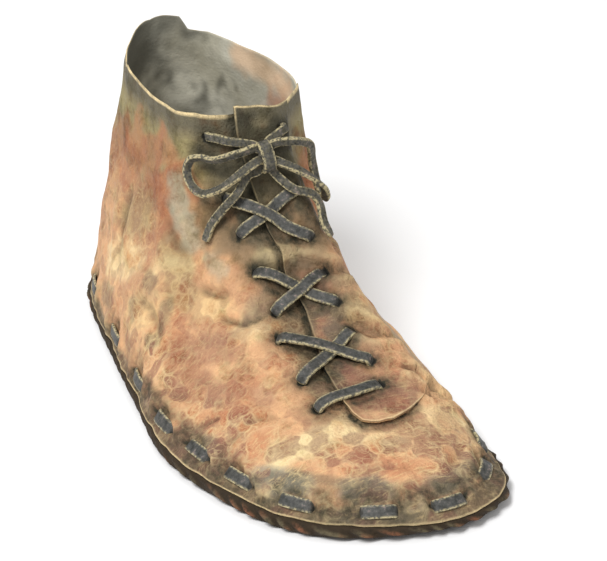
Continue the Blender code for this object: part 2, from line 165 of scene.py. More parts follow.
@dataclass(frozen=True)
class Last:
    """The last that the upper is drawn over: round it by turn, 0 to 14, up it by rise, 0 to 1.

    Each row of SECTIONS is one meridian from the sole's edge to the collar, clockwise from the
    toe seen from below. foot_x, in and out are shares of the width, foot_y and collar_y of the
    length, collar_x of the width, and collar_z, up and down of the collar's height.
    """

    length: float = 280.5 * MM
    width: float = 121.5 * MM
    collar_height: float = 117.5 * MM
    base: float = 6.7 * MM
    wall: float = 2.0 * MM

    COLUMNS = ("foot_x", "foot_y", "collar_x", "collar_y", "collar_z", "in", "up", "out", "down")
    SECTIONS = {
        "toe": (0.110, -0.499, 0.151, 0.110, 1.034, 0.104, 0.250, 0.217, 0.926),
        "toe_med": (0.409, -0.450, 0.234, 0.106, 1.017, 0.093, 0.080, 0.220, 0.660),
        "ball_med": (0.487, -0.266, 0.324, 0.124, 1.009, 0.070, 0.225, 0.010, 0.740),
        "waist_med": (0.456, -0.022, 0.407, 0.167, 0.991, 0.045, 0.165, 0.110, 0.554),
        "arch_med": (0.448, 0.170, 0.448, 0.235, 0.983, 0.004, 0.240, 0.029, 0.366),
        "heel_med": (0.456, 0.349, 0.415, 0.338, 0.991, -0.008, 0.250, 0.015, 0.335),
        "heel_cor_m": (0.325, 0.452, 0.333, 0.427, 1.000, -0.015, 0.250, 0.027, 0.317),
        "heel_back": (0.092, 0.499, 0.143, 0.459, 1.060, -0.013, 0.250, 0.002, 0.325),
        "heel_cor_l": (-0.119, 0.441, -0.005, 0.409, 1.017, 0.011, 0.240, 0.046, 0.305),
        "heel_lat": (-0.235, 0.351, -0.079, 0.338, 1.000, 0.030, 0.240, 0.012, 0.335),
        "arch_lat": (-0.336, 0.187, -0.087, 0.242, 0.991, 0.018, 0.260, 0.001, 0.388),
        "waist_lat": (-0.415, 0.039, -0.087, 0.181, 1.000, 0.057, 0.190, 0.053, 0.517),
        "ball_lat": (-0.486, -0.160, -0.038, 0.138, 1.009, 0.072, 0.095, 0.014, 0.744),
        "toe_lat": (-0.315, -0.396, 0.061, 0.113, 1.026, 0.075, 0.230, 0.124, 0.800),
    }

    @property
    def around(self) -> int:
        """Number of sections round the last."""
        return len(self.SECTIONS)

    def sizes(self, turn: np.ndarray) -> dict[str, np.ndarray]:
        """Section sizes on a closed smooth curve through the table.

        Args:
            turn: Places round the last.

        Returns:
            Each named size in metres, at each place.
        """
        by_name = {"foot_y": self.length, "collar_y": self.length, "collar_z": self.collar_height,
                   "up": self.collar_height, "down": self.collar_height}
        units = [by_name.get(name, self.width) for name in self.COLUMNS]
        table = np.array(list(self.SECTIONS.values())) * units
        turn = np.asarray(turn, float) % self.around
        first = np.floor(turn).astype(int)
        t = (turn - first)[..., None]
        a, b, c, d = (table[(first + step) % self.around] for step in (-1, 0, 1, 2))
        found = 0.5 * (2.0 * b + (c - a) * t + (2.0 * a - 5.0 * b + 4.0 * c - d) * t ** 2
                       + (3.0 * b - a - 3.0 * c + d) * t ** 3)
        return {name: found[..., i] for i, name in enumerate(self.COLUMNS)}

    def point(self, turn: np.ndarray, rise: np.ndarray) -> np.ndarray:
        """Points of the upper's smooth outer face.

        Args:
            turn: Places round the last.
            rise: Shares of the way up, of the same shape.

        Returns:
            Places in metres.
        """
        size = self.sizes(turn)
        rise = np.asarray(rise, float)[..., None]
        foot = np.stack([size["foot_x"], size["foot_y"], np.full(size["foot_x"].shape, self.base)],
                        -1)
        collar = np.stack([size["collar_x"], size["collar_y"], size["collar_z"]], -1)
        inward = unit(collar[..., :2] - foot[..., :2])
        low = foot.copy()
        low[..., :2] += inward * size["in"][..., None]
        low[..., 2] += size["up"]
        high = collar.copy()
        high[..., :2] -= inward * size["out"][..., None]
        high[..., 2] -= size["down"]
        rest = 1.0 - rise
        return (rest ** 3 * foot + 3.0 * rest ** 2 * rise * low
                + 3.0 * rest * rise ** 2 * high + rise ** 3 * collar)

    def normal(self, turn: np.ndarray, rise: np.ndarray) -> np.ndarray:
        """Outward unit normals, level at the sole's edge.

        Args:
            turn: Places round the last.
            rise: Shares of the way up, of the same shape.

        Returns:
            Unit vectors.
        """
        turn = np.asarray(turn, float)
        rise = np.asarray(rise, float)
        step = 0.002
        along = self.point(turn + step, rise) - self.point(turn - step, rise)
        upward = (self.point(turn, np.minimum(rise + step, 1.0))
                  - self.point(turn, np.maximum(rise - step, 0.0)))
        found = np.cross(along, upward)
        found[..., 2] *= np.clip(rise / 0.04, 0.0, 1.0)
        return unit(found)

    def route(self, rows: tuple, samples: int = 12) -> np.ndarray:
        """Points on the face along straight legs between places.

        Args:
            rows: Places as (turn, rise).
            samples: Points on each leg.

        Returns:
            Places in metres.
        """
        table = np.array(rows, float)
        spots = np.linspace(0.0, len(table) - 1.0, samples * (len(table) - 1) + 1)
        steps = np.arange(len(table))
        turn, rise = (np.interp(spots, steps, column) for column in table.T)
        return self.point(turn, rise)

    def straight(self, first: tuple, second: tuple,
                 share: np.ndarray) -> tuple[np.ndarray, np.ndarray]:
        """The straightest line over the face between two places.

        Args:
            first: (turn, rise) of one end.
            second: (turn, rise) of the other.
            share: Shares of the way along it.

        Returns:
            Turns and rises of the line.
        """
        turn = first[0] + (second[0] - first[0]) * share
        rise = first[1] + (second[1] - first[1]) * share
        ends = self.point(np.array([first[0], second[0]]), np.array([first[1], second[1]]))
        middle = self.normal(np.array((first[0] + second[0]) / 2.0),
                             np.array((first[1] + second[1]) / 2.0))
        across = unit(np.cross(ends[1] - ends[0], middle))
        step = 0.004
        for _ in range(5):
            here = self.point(turn, rise)
            by_turn = (self.point(turn + step, rise) - here) / step
            by_rise = (self.point(turn, rise + step) - here) / step
            off = (here - ends[0]) @ across
            slope = np.stack([by_turn @ across, by_rise @ across])
            scale = np.stack([np.sum(by_turn ** 2, -1), np.sum(by_rise ** 2, -1)])
            push = off / np.maximum(np.sum(slope ** 2 / scale, 0), 1e-9)
            turn = turn - push * slope[0] / scale[0]
            rise = rise - push * slope[1] / scale[1]
        return turn, rise


def away_from(points: np.ndarray, route: np.ndarray) -> tuple[np.ndarray, np.ndarray]:
    """Distance of points from a route.

    Args:
        points: Places in metres, any shape with x, y, z last.
        route: The route's points.

    Returns:
        The distance in mm, and the share along the route of its nearest point.
    """
    best = np.full(points.shape[:-1], 1e9)
    share = np.zeros(points.shape[:-1])
    legs = max(len(route) - 1, 1)
    for i in range(legs):
        start = route[i]
        leg = route[min(i + 1, len(route) - 1)] - start
        length = max(float(leg @ leg), 1e-12)
        t = np.clip(((points - start) @ leg) / length, 0.0, 1.0)
        gap = np.linalg.norm(points - start - t[..., None] * leg, axis=-1)
        nearer = gap < best
        best = np.where(nearer, gap, best)
        share = np.where(nearer, (i + t) / legs, share)
    return best / MM, share


@dataclass(frozen=True)
class Fold:
    """A soft trough in the hide, with low ridges beside it.

    Depth, width and ridge are in mm. A depth below zero makes a ridge.
    """

    name: str
    rows: tuple
    depth: float
    width: float
    ridge: float = 0.3

    def height(self, last: Last, points: np.ndarray) -> np.ndarray:
        """How far the fold moves the face.

        Args:
            last: The last under the face.
            points: Places on the smooth face.

        Returns:
            Heights in mm.
        """
        gap, share = away_from(points, last.route(self.rows, 6))
        fade = ease(share / 0.22) * ease((1.0 - share) / 0.22)
        width = 0.85 * self.width
        shape = -1.5 * self.depth * bell(gap / width)
        shape += 2.0 * self.ridge * bell((gap - 1.9 * width) / width)
        return shape * (0.15 + 0.85 * fade)


@dataclass(frozen=True)
class Patch:
    """A patch or smear of one tint on the hide, radius in mm."""

    tint: Tint
    rows: tuple
    radius: float
    strength: float
    layer: Layer = Layer.BOTH


FOLDS = (
    Fold("instep_roll", ((-0.90, 0.740), (-0.52, 0.752), (-0.18, 0.762), (0.33, 0.765)), -2.2, 3.2),
    Fold("instep_under", ((-0.95, 0.715), (-0.50, 0.725), (-0.10, 0.733), (0.10, 0.735)), 1.8, 2.6),
    Fold("instep_lip", ((-0.20, 0.735), (0.13, 0.742), (0.45, 0.725), (0.68, 0.700), (0.81, 0.680)),
         1.6, 2.4),
    Fold("ankle_bend", ((-1.89, 0.645), (-1.67, 0.650), (-1.50, 0.650), (-1.29, 0.655)), 1.7, 2.8),
    Fold("ankle_bend_low", ((-1.59, 0.585), (-1.44, 0.585), (-1.20, 0.595), (-0.95, 0.610),
                            (-0.73, 0.635)), 1.8, 2.8),
    Fold("flex_outer", ((-1.92, 0.215), (-1.76, 0.255), (-1.63, 0.295), (-1.58, 0.315)), 1.3, 2.6),
    Fold("flex_front", ((-1.41, 0.315), (-1.25, 0.335), (-1.09, 0.345), (-0.97, 0.365)), 1.2, 2.6),
    Fold("flex_cross", ((-1.62, 0.165), (-1.55, 0.225), (-1.45, 0.270), (-1.35, 0.300)), 1.1, 2.4),
    Fold("ball_deep", ((0.76, 0.475), (1.03, 0.425), (1.12, 0.390), (1.51, 0.315)), 2.2, 3.0, 0.8),
    Fold("ball_low", ((0.82, 0.405), (1.04, 0.370), (1.38, 0.310)), 1.6, 2.6, 0.6),
    Fold("instep_med", ((0.08, 0.605), (0.33, 0.605), (0.50, 0.580), (0.66, 0.560), (0.92, 0.535)),
         1.8, 2.8, 0.5),
    Fold("instep_long", ((0.32, 0.590), (0.59, 0.580), (0.84, 0.555), (1.12, 0.520),
                         (1.61, 0.455)), 1.8, 3.0, 0.6),
    Fold("instep_high", ((1.18, 0.660), (0.88, 0.680), (0.42, 0.720)), 1.5, 2.8, 0.5),
    Fold("ball_sweep", ((0.74, 0.410), (1.28, 0.350), (1.57, 0.250), (1.91, 0.095)), 1.9, 3.0, 0.6),
    Fold("ball_short", ((0.80, 0.380), (1.25, 0.320), (1.36, 0.295)), 1.2, 2.4, 0.4),
    Fold("bow_under", ((0.96, 0.760), (0.76, 0.750), (0.15, 0.775), (-0.36, 0.770)), 1.0, 2.4, 0.3),
    Fold("bow_side", ((1.43, 0.890), (1.19, 0.865), (1.15, 0.830)), 1.1, 2.4, 0.3),
    Fold("waist_long", ((1.80, 0.535), (2.26, 0.385), (2.54, 0.215)), 1.6, 4.0, 0.5),
    Fold("waist_med_high", ((1.75, 0.70), (2.30, 0.66), (2.90, 0.64)), 1.4, 4.5, 0.5),
    Fold("arch_med_drape", ((3.10, 0.60), (3.35, 0.42), (3.45, 0.25)), 1.2, 5.0, 0.4),
    Fold("heel_med_drape", ((5.05, 0.62), (5.25, 0.42), (5.20, 0.22)), 1.2, 5.5, 0.4),
    Fold("heel_back_drape", ((7.15, 0.80), (7.05, 0.55), (7.20, 0.30)), 1.0, 6.0, 0.3),
    Fold("heel_tuck", ((6.20, 0.16), (6.70, 0.24), (7.50, 0.23), (8.10, 0.15)), 1.3, 3.5, 0.4),
    Fold("heel_lat_drape", ((9.55, 0.66), (9.45, 0.45), (9.70, 0.26)), 1.3, 5.0, 0.4),
    Fold("waist_lat_high", ((-3.10, 0.72), (-2.60, 0.68), (-2.15, 0.69)), 1.2, 4.0, 0.4),
    Fold("waist_lat_low", ((-3.55, 0.33), (-3.05, 0.39), (-2.55, 0.38)), 1.3, 4.0, 0.4),
    Fold("ball_lat_low", ((-2.60, 0.24), (-2.20, 0.29), (-1.90, 0.33)), 1.0, 3.2, 0.3),
    Fold("toe_wrinkle_a", ((-0.62, 0.195), (-0.30, 0.225), (0.02, 0.220)), 0.8, 2.4, 0.2),
    Fold("toe_wrinkle_b", ((0.25, 0.185), (0.55, 0.215), (0.80, 0.250)), 0.9, 2.6, 0.3),
    Fold("lap_crease", ((-0.15, 0.560), (0.10, 0.530), (0.32, 0.470)), 0.8, 2.4, 0.2),
)

PATCHES = (
    Patch(Tint.CREAM, ((-1.08, 0.23), (-0.84, 0.285), (-0.56, 0.33), (-0.40, 0.35)), 7, 0.95,
          Layer.WALL),
    Patch(Tint.CREAM, ((-0.40, 0.31), (-0.14, 0.312), (0.13, 0.30)), 4, 0.75, Layer.WALL),
    Patch(Tint.STRAW, ((0.30, 0.28), (0.70, 0.27), (1.03, 0.27)), 10, 0.7, Layer.WALL),
    Patch(Tint.CREAM, ((-1.23, 0.565), (-0.94, 0.59), (-0.73, 0.615)), 5, 0.7, Layer.WALL),
    Patch(Tint.CREAM, ((-4.60, 0.29), (-4.20, 0.36), (-3.83, 0.435)), 9, 0.75),
    Patch(Tint.STRAW, ((-3.43, 0.30), (-2.95, 0.43), (-2.60, 0.62)), 10, 0.55),
    Patch(Tint.CREAM, ((-3.05, 0.53), (-2.60, 0.63), (-2.20, 0.66)), 6, 0.55),
    Patch(Tint.STRAW, ((-1.95, 0.60), (-1.55, 0.62)), 7, 0.6),
    Patch(Tint.STRAW, ((0.62, 0.61), (1.10, 0.58), (1.61, 0.58)), 7, 0.6),
    Patch(Tint.CREAM, ((0.69, 0.335), (1.03, 0.27), (1.52, 0.10)), 8, 0.6),
    Patch(Tint.STRAW, ((1.60, 0.30), (2.30, 0.24), (3.10, 0.22)), 11, 0.5),
    Patch(Tint.STRAW, ((4.20, 0.30), (5.10, 0.36), (5.80, 0.30)), 13, 0.5),
    Patch(Tint.CREAM, ((6.40, 0.42), (7.40, 0.48)), 12, 0.45),
    Patch(Tint.PEACH, ((-1.05, 0.43), (-0.85, 0.50)), 7, 0.6, Layer.WALL),
    Patch(Tint.PEACH, ((-2.35, 0.33), (-2.00, 0.36), (-1.75, 0.42)), 11, 0.55),
    Patch(Tint.PEACH, ((0.20, 0.24), (0.75, 0.20)), 12, 0.6, Layer.WALL),
    Patch(Tint.ORANGE, ((-0.62, 0.25), (-0.25, 0.24)), 8, 0.55, Layer.WALL),
    Patch(Tint.PURPLE_BROWN, ((-2.15, 0.45), (-1.84, 0.50), (-1.47, 0.515)), 7, 0.55),
    Patch(Tint.PURPLE_BROWN, ((-1.91, 0.40), (-1.55, 0.37)), 7, 0.45),
    Patch(Tint.PURPLE_BROWN, ((-1.30, 0.46), (-1.10, 0.40)), 5, 0.45, Layer.WALL),
    Patch(Tint.RUST, ((-1.36, 0.44), (-1.15, 0.46)), 5, 0.45, Layer.WALL),
    Patch(Tint.RUST, ((-1.47, 0.34), (-1.33, 0.375)), 6, 0.4, Layer.WALL),
    Patch(Tint.RUST, ((-2.68, 0.56), (-2.30, 0.50)), 8, 0.4),
    Patch(Tint.RUST, ((-4.71, 0.655), (-4.50, 0.775)), 12, 0.5),
    Patch(Tint.RED_BROWN, ((-3.90, 0.66), (-3.30, 0.76)), 9, 0.45),
    Patch(Tint.RUST, ((-3.10, 0.80), (-2.75, 0.70)), 6, 0.35),
    Patch(Tint.PURPLE_BROWN, ((-0.12, 0.47), (0.05, 0.42), (0.40, 0.41), (0.55, 0.44)), 9, 0.8,
          Layer.LAP),
    Patch(Tint.PURPLE_BROWN, ((0.00, 0.54), (0.10, 0.62), (0.15, 0.70)), 10, 0.7, Layer.LAP),
    Patch(Tint.RED_BROWN, ((-0.08, 0.425), (0.20, 0.40)), 6, 0.5, Layer.LAP),
    Patch(Tint.ORANGE, ((0.60, 0.465), (0.85, 0.50)), 8, 0.55),
    Patch(Tint.RUST, ((0.66, 0.465), (0.95, 0.44)), 5, 0.4),
    Patch(Tint.RUST, ((1.30, 0.42), (1.75, 0.36)), 9, 0.35),
    Patch(Tint.RUST, ((2.20, 0.50), (2.80, 0.42)), 12, 0.4),
    Patch(Tint.RED_BROWN, ((3.60, 0.62), (4.30, 0.66)), 13, 0.45),
    Patch(Tint.RUST, ((5.60, 0.60), (6.30, 0.66)), 12, 0.4),
    Patch(Tint.RED_BROWN, ((7.70, 0.62), (8.20, 0.46)), 12, 0.4),
    Patch(Tint.GREY_GREEN, ((-1.25, 0.150), (-0.95, 0.155)), 7, 0.7),
    Patch(Tint.GREY_GREEN, ((-0.60, 0.150), (-0.40, 0.135)), 6, 0.55),
    Patch(Tint.GREY_GREEN, ((0.10, 0.150), (0.45, 0.160)), 6, 0.5),
    Patch(Tint.GREY_GREEN, ((-1.75, 0.17), (-1.60, 0.20)), 6, 0.5),
    Patch(Tint.GREY_GREEN, ((-0.68, 0.04), (-0.20, 0.05)), 4, 0.5),
    Patch(Tint.RUST, ((-3.60, 0.86), (-3.10, 0.88)), 7, 0.5),
    Patch(Tint.RED_BROWN, ((-4.10, 0.80), (-3.70, 0.72)), 8, 0.55),
    Patch(Tint.RED_BROWN, ((-3.20, 0.62), (-2.75, 0.66)), 7, 0.5),
    Patch(Tint.RUST, ((-2.45, 0.88), (-2.10, 0.85)), 5, 0.5),
    Patch(Tint.RED_BROWN, ((-5.60, 0.62), (-5.10, 0.74)), 10, 0.55),
    Patch(Tint.RUST, ((2.30, 0.78), (2.90, 0.82)), 9, 0.55),
    Patch(Tint.RED_BROWN, ((1.90, 0.66), (2.40, 0.60)), 8, 0.45),
    Patch(Tint.MOSS, ((-2.60, 0.66), (-2.20, 0.60)), 8, 0.5),
    Patch(Tint.MOSS, ((-4.40, 0.52), (-3.90, 0.58)), 9, 0.55),
    Patch(Tint.MOSS, ((3.10, 0.52), (3.90, 0.46)), 12, 0.5),
    Patch(Tint.BLUE_GREY, ((-2.75, 0.835), (-2.50, 0.800)), 4, 0.6),
    Patch(Tint.BLUE_GREY, ((-2.34, 0.765), (-2.12, 0.735)), 5, 0.6),
    Patch(Tint.BLUE_GREY, ((-1.60, 0.715), (-1.40, 0.700)), 4, 0.5),
    Patch(Tint.BLUE_GREY, ((1.58, 0.695), (1.59, 0.770)), 5, 0.6),
    Patch(Tint.BLUE_GREY, ((1.48, 0.405), (1.63, 0.480)), 5, 0.55),
    Patch(Tint.RED_BROWN, ((0.35, 0.27), (0.80, 0.30)), 8, 0.5),
    Patch(Tint.RUST, ((-0.20, 0.22), (0.30, 0.20)), 7, 0.5),
    Patch(Tint.RUST, ((-1.60, 0.30), (-1.30, 0.24)), 9, 0.55),
    Patch(Tint.RED_BROWN, ((-2.30, 0.42), (-1.90, 0.36)), 8, 0.5),
    Patch(Tint.SMOKE, ((-1.22, 0.135), (-1.00, 0.150)), 5, 0.7),
    Patch(Tint.SMOKE, ((-0.58, 0.130), (-0.42, 0.150)), 5, 0.75),
    Patch(Tint.SMOKE, ((0.12, 0.135), (0.30, 0.150)), 5, 0.7),
    Patch(Tint.SMOKE, ((0.55, 0.165), (0.75, 0.190)), 5, 0.6),
    Patch(Tint.SMOKE, ((-1.85, 0.20), (-1.65, 0.175)), 4, 0.6),
    Patch(Tint.SMOKE, ((0.10, 0.60), (0.20, 0.56)), 5, 0.6, Layer.LAP),
    Patch(Tint.SMOKE, ((0.25, 0.66), (0.40, 0.62)), 5, 0.55, Layer.LAP),
    Patch(Tint.SMOKE, ((-0.62, 0.67), (-0.90, 0.64)), 5, 0.5, Layer.WALL),
    Patch(Tint.OLIVE, ((-3.29, 0.45), (-3.10, 0.47)), 4, 0.6),
    Patch(Tint.OLIVE, ((-2.80, 0.33), (-2.90, 0.30)), 4, 0.6),
    Patch(Tint.OLIVE, ((-2.70, 0.41), (-2.62, 0.49)), 3.5, 0.6),
    Patch(Tint.OLIVE, ((-3.59, 0.295), (-3.50, 0.27)), 4, 0.5),
    Patch(Tint.OLIVE, ((-4.64, 0.14), (-4.30, 0.16)), 5, 0.5),
    Patch(Tint.OLIVE, ((-1.00, 0.19), (-0.79, 0.175), (-0.50, 0.155)), 3, 0.55),
    Patch(Tint.OLIVE, ((0.70, 0.63), (0.76, 0.595)), 4, 0.5),
    Patch(Tint.OLIVE, ((0.30, 0.19), (0.42, 0.185)), 3.5, 0.4),
    Patch(Tint.OLIVE, ((0.80, 0.66), (1.16, 0.65)), 5, 0.55),
    Patch(Tint.OLIVE, ((1.55, 0.62), (1.70, 0.60)), 5, 0.45),
    Patch(Tint.OLIVE, ((0.88, 0.45), (1.05, 0.43)), 4, 0.4),
    Patch(Tint.OLIVE, ((2.60, 0.10), (3.00, 0.12)), 6, 0.5),
    Patch(Tint.OLIVE, ((3.70, 0.13), (4.60, 0.11)), 6, 0.4),
    Patch(Tint.OLIVE, ((6.30, 0.12), (7.40, 0.13)), 7, 0.45),
    # Painted shade: the khaki, olive and dark olive strokes below darken the hide under the bow's
    # tails and knot and beside the lap's free edge.
    Patch(Tint.KHAKI, ((-1.60, 0.80), (-1.10, 0.76), (-0.60, 0.74)), 8, 0.6),
    Patch(Tint.KHAKI, ((0.40, 0.74), (0.95, 0.78), (1.40, 0.84)), 8, 0.6),
    Patch(Tint.KHAKI, ((-1.20, 0.90), (0.00, 0.88), (1.00, 0.90)), 13, 0.8),
    Patch(Tint.OLIVE, ((-1.50, 0.93), (-0.50, 0.93), (0.60, 0.93)), 9, 0.75),
    Patch(Tint.OLIVE, ((-0.60, 0.86), (-0.40, 0.76), (-0.30, 0.66), (-0.45, 0.56), (-0.45, 0.44)),
          7, 0.75),
    Patch(Tint.DARK_OLIVE, ((-0.75, 0.97), (-0.30, 0.96), (0.30, 0.95), (0.90, 0.94)), 7, 0.85,
          Layer.LAP),
    Patch(Tint.DARK_OLIVE, ((-0.30, 0.90), (0.30, 0.88)), 8, 0.6, Layer.LAP),
)

INSIDE = (
    Patch(Tint.FLESH_DARK, ((-6.6, 0.95), (-5.4, 0.80), (-4.2, 0.75)), 24, 0.9),
    Patch(Tint.FLESH_DARK, ((-3.4, 0.95), (-1.6, 0.95)), 12, 0.6),
    Patch(Tint.FLESH_DARK, ((3.0, 0.55), (4.5, 0.45), (6.0, 0.50)), 20, 0.8),
    Patch(Tint.FLESH_DARK, ((0.3, 0.70), (1.6, 0.60)), 20, 0.7),
    Patch(Tint.RUST, ((3.2, 0.86), (4.2, 0.84)), 10, 0.65),
    Patch(Tint.PEACH, ((3.6, 0.94), (4.6, 0.95), (5.2, 0.97)), 6, 0.5),
    Patch(Tint.RUST, ((2.2, 0.93), (2.9, 0.90)), 7, 0.5),
)

LACE_ENDS = {
    "lace_cross_top": (((-1.30, 0.850), (0.63, 0.767), 1), ((-1.03, 0.783), (0.75, 0.850), 0)),
    "lace_cross_middle": (((-0.65, 0.637), (0.53, 0.704), 1), ((-0.82, 0.713), (0.45, 0.642), 0)),
    "lace_cross_low": (((-0.72, 0.571), (0.35, 0.508), 1), ((-0.65, 0.467), (0.37, 0.579), 0)),
    "lace_bar": (((-0.60, 0.396), (0.23, 0.450), 0),),
}
BOW_HOLES = ((-1.73, 0.963), (1.08, 0.958))
STITCH_PLACES = (0.09, 0.86, 1.42, 1.92, 2.40, 2.88, 3.44, 4.05, 4.70, 5.40, 6.10, 6.75, 7.35,
                 8.05, 8.90, 9.95, 10.95, 11.70, 12.19, 12.55, 12.98, 13.53)


@dataclass(frozen=True)
class Seam:
    """The run of thong stitches over the sole's margin, sizes in mm but for the height."""

    last: Last
    height: float = 11.8 * MM
    length: float = 16.5
    groove: float = 1.4
    bulge: float = 1.6
    hollow: float = 1.7

    def line(self) -> tuple[np.ndarray, np.ndarray, np.ndarray]:
        """The seam's line round the last.

        Returns:
            Turns from 0 to the full round, their rises, and the run in mm up to each.
        """
        turns = np.linspace(0.0, self.last.around, 1401)
        steps = np.linspace(0.0, 0.5, 101)
        heights = self.last.point(turns[:, None] + steps * 0.0, np.tile(steps, (len(turns), 1)))
        rises = np.array([np.interp(self.height, row[:, 2], steps) for row in heights])
        places = self.last.point(turns, rises)
        run = np.concatenate([[0.0], np.cumsum(np.linalg.norm(np.diff(places, axis=0), axis=1))])
        return turns, rises, run / MM

    def marks(self, turn: np.ndarray, rise: np.ndarray,
              points: np.ndarray) -> tuple[np.ndarray, np.ndarray]:
        """Where points lie from the nearest stitch.

        Args:
            turn: Places round the last.
            rise: Shares of the way up.
            points: The same places in metres.

        Returns:
            mm along the seam from the nearest stitch's middle, and mm above the seam's line.
        """
        turns, rises, run = self.line()
        held = np.asarray(turn) % self.last.around
        line_rise = np.interp(held, turns, rises)
        above = np.linalg.norm(points - self.last.point(held, line_rise), axis=-1) / MM
        above = np.where(rise < line_rise, -above, above)
        here = np.interp(held, turns, run)
        along = np.full(held.shape, 1e6)
        for place in STITCH_PLACES:
            gap = here - np.interp(place, turns, run)
            gap = (gap + run[-1] / 2.0) % run[-1] - run[-1] / 2.0
            along = np.where(abs(gap) < abs(along), gap, along)
        return along, above

    def height_mm(self, along: np.ndarray, above: np.ndarray) -> np.ndarray:
        """How the drawn thong gathers the hide.

        Args:
            along: mm from the nearest stitch's middle.
            above: mm above the seam's line.

        Returns:
            Heights in mm.
        """
        half = self.length / 2.0
        on_stitch = ease((half + 2.0 - abs(along)) / 3.0)
        end = bell((abs(along) - half) / 1.5)
        between = bell((abs(along) - half - 3.2) / 2.4)
        found = -self.groove * bell(above / 3.0) * on_stitch
        found -= 1.5 * end * bell(above / 2.0)
        found += self.bulge * between * bell((above - 0.5) / 4.5)
        reach = np.clip(1.0 - abs(along - 0.25 * above) / (half + 1.0 - 0.55 * above), 0.0, 1.0)
        found -= self.hollow * bell((above - 6.0) / 3.2) * ease(reach * 1.6)
        crease = abs(along + half - 0.55 * (above - 2.0))
        found -= 0.8 * bell(crease / 1.5) * ease((above - 1.0) / 2.0) * ease((13.0 - above) / 7.0)
        ridge = abs(along - half + 0.60 * (above - 2.0))
        found += 0.8 * bell(ridge / 1.8) * ease((above - 1.0) / 2.0) * ease((13.0 - above) / 7.0)
        return found

    def grime_and_shade(self, along: np.ndarray, above: np.ndarray) -> np.ndarray:
        """Painted shade in the grooves, pucker hollows and creases round the stitches, and black in
        their holes, 0 to 1.

        Args:
            along: mm from the nearest stitch's middle.
            above: mm above the seam's line.

        Returns:
            Shares from 0 to 1.
        """
        half = self.length / 2.0
        near = ease((half + 3.0 - abs(along)) / 4.0)
        groove = 0.95 * near * bell(above / 3.6)
        reach = np.clip(1.0 - abs(along - 0.25 * above) / (half + 1.0 - 0.55 * above), 0.0, 1.0)
        hollow = 0.90 * ease(reach * 1.6) * bell((above - 5.0) / 3.6)
        crease = abs(along + half - 0.55 * (above - 2.0))
        dark = 0.75 * bell(crease / 1.6) * ease((above - 1.0) / 2.0) * ease((14.0 - above) / 8.0)
        pit = 1.5 * bell((abs(along) - half - 0.2) / 1.3) * bell(above / 1.9)
        return np.maximum(np.maximum(np.maximum(groove, hollow), dark), pit)


def placed_grid(points: np.ndarray, values: dict[str, np.ndarray]) -> bmesh.types.BMesh:
    """Lays a flat grid over a sheet of points and merges what falls together.

    Args:
        points: Places in metres, rows by columns by 3.
        values: Named values to keep at each point, rows by columns, or with 4 for a colour.

    Returns:
        The sheet.
    """
    rows, columns = points.shape[:2]
    work = bmesh.new()
    bmesh.ops.create_grid(work, x_segments=columns - 1, y_segments=rows - 1, size=0.5)
    keeps = []
    for name, table in values.items():
        kinds = work.verts.layers.float_color if table.ndim == 3 else work.verts.layers.float
        flat = table.reshape(-1, 4) if table.ndim == 3 else table.reshape(-1)
        keeps.append((kinds.new(name), flat.tolist()))
    for number, (vertex, place) in enumerate(zip(work.verts, points.reshape(-1, 3).tolist())):
        vertex.co = place
        for layer, flat in keeps:
            vertex[layer] = flat[number]
    return work


def closed_up(work: bmesh.types.BMesh, fill: bool = False) -> bmesh.types.BMesh:
    """Merges a sheet's seams, fills its holes if asked, and turns its faces outwards.

    Args:
        work: The sheet.
        fill: Whether open loops are filled.

    Returns:
        The same sheet.
    """
    bmesh.ops.remove_doubles(work, verts=work.verts, dist=0.00001)
    bmesh.ops.dissolve_degenerate(work, dist=0.000002, edges=work.edges)
    if fill:
        bmesh.ops.holes_fill(work, edges=[e for e in work.edges if e.is_boundary], sides=0)
    bmesh.ops.recalc_face_normals(work, faces=work.faces)
    return work


def finish_piece(work: bmesh.types.BMesh, name: str, materials: list,
                 nodes: tuple = ()) -> bpy.types.Object:
    """Makes a piece of a finished mesh and puts it on the shoe.

    Args:
        work: The mesh, freed here. Faces on its "inner" layer take the second material.
        name: The piece's name.
        materials: One or two finishes.
        nodes: CAD nodes that the piece stands for.

    Returns:
        The piece.
    """
    inner = work.verts.layers.float.get("inner")
    for face in work.faces:
        face.smooth = True
        if inner is not None and len(materials) > 1:
            face.material_index = int(sum(v[inner] for v in face.verts) / len(face.verts) > 0.5)
    mesh = bpy.data.meshes.new(name)
    work.to_mesh(mesh)
    work.free()
    for made in materials:
        mesh.materials.append(made)
    piece = bpy.data.objects.new(name, mesh)
    bpy.context.collection.objects.link(piece)
    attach(piece, "root")
    if nodes:
        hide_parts(*nodes)
    LOG.info("%s: %d faces", name, len(mesh.polygons))
    return piece


def join_meshes(parts: list[bmesh.types.BMesh]) -> bmesh.types.BMesh:
    """Puts several meshes of the same layers into one.

    Args:
        parts: The meshes, freed here.

    Returns:
        One mesh with all of them.
    """
    whole = bmesh.new()
    for part in parts:
        mesh = bpy.data.meshes.new("part")
        part.to_mesh(mesh)
        part.free()
        whole.from_mesh(mesh)
        bpy.data.meshes.remove(mesh)
    return whole


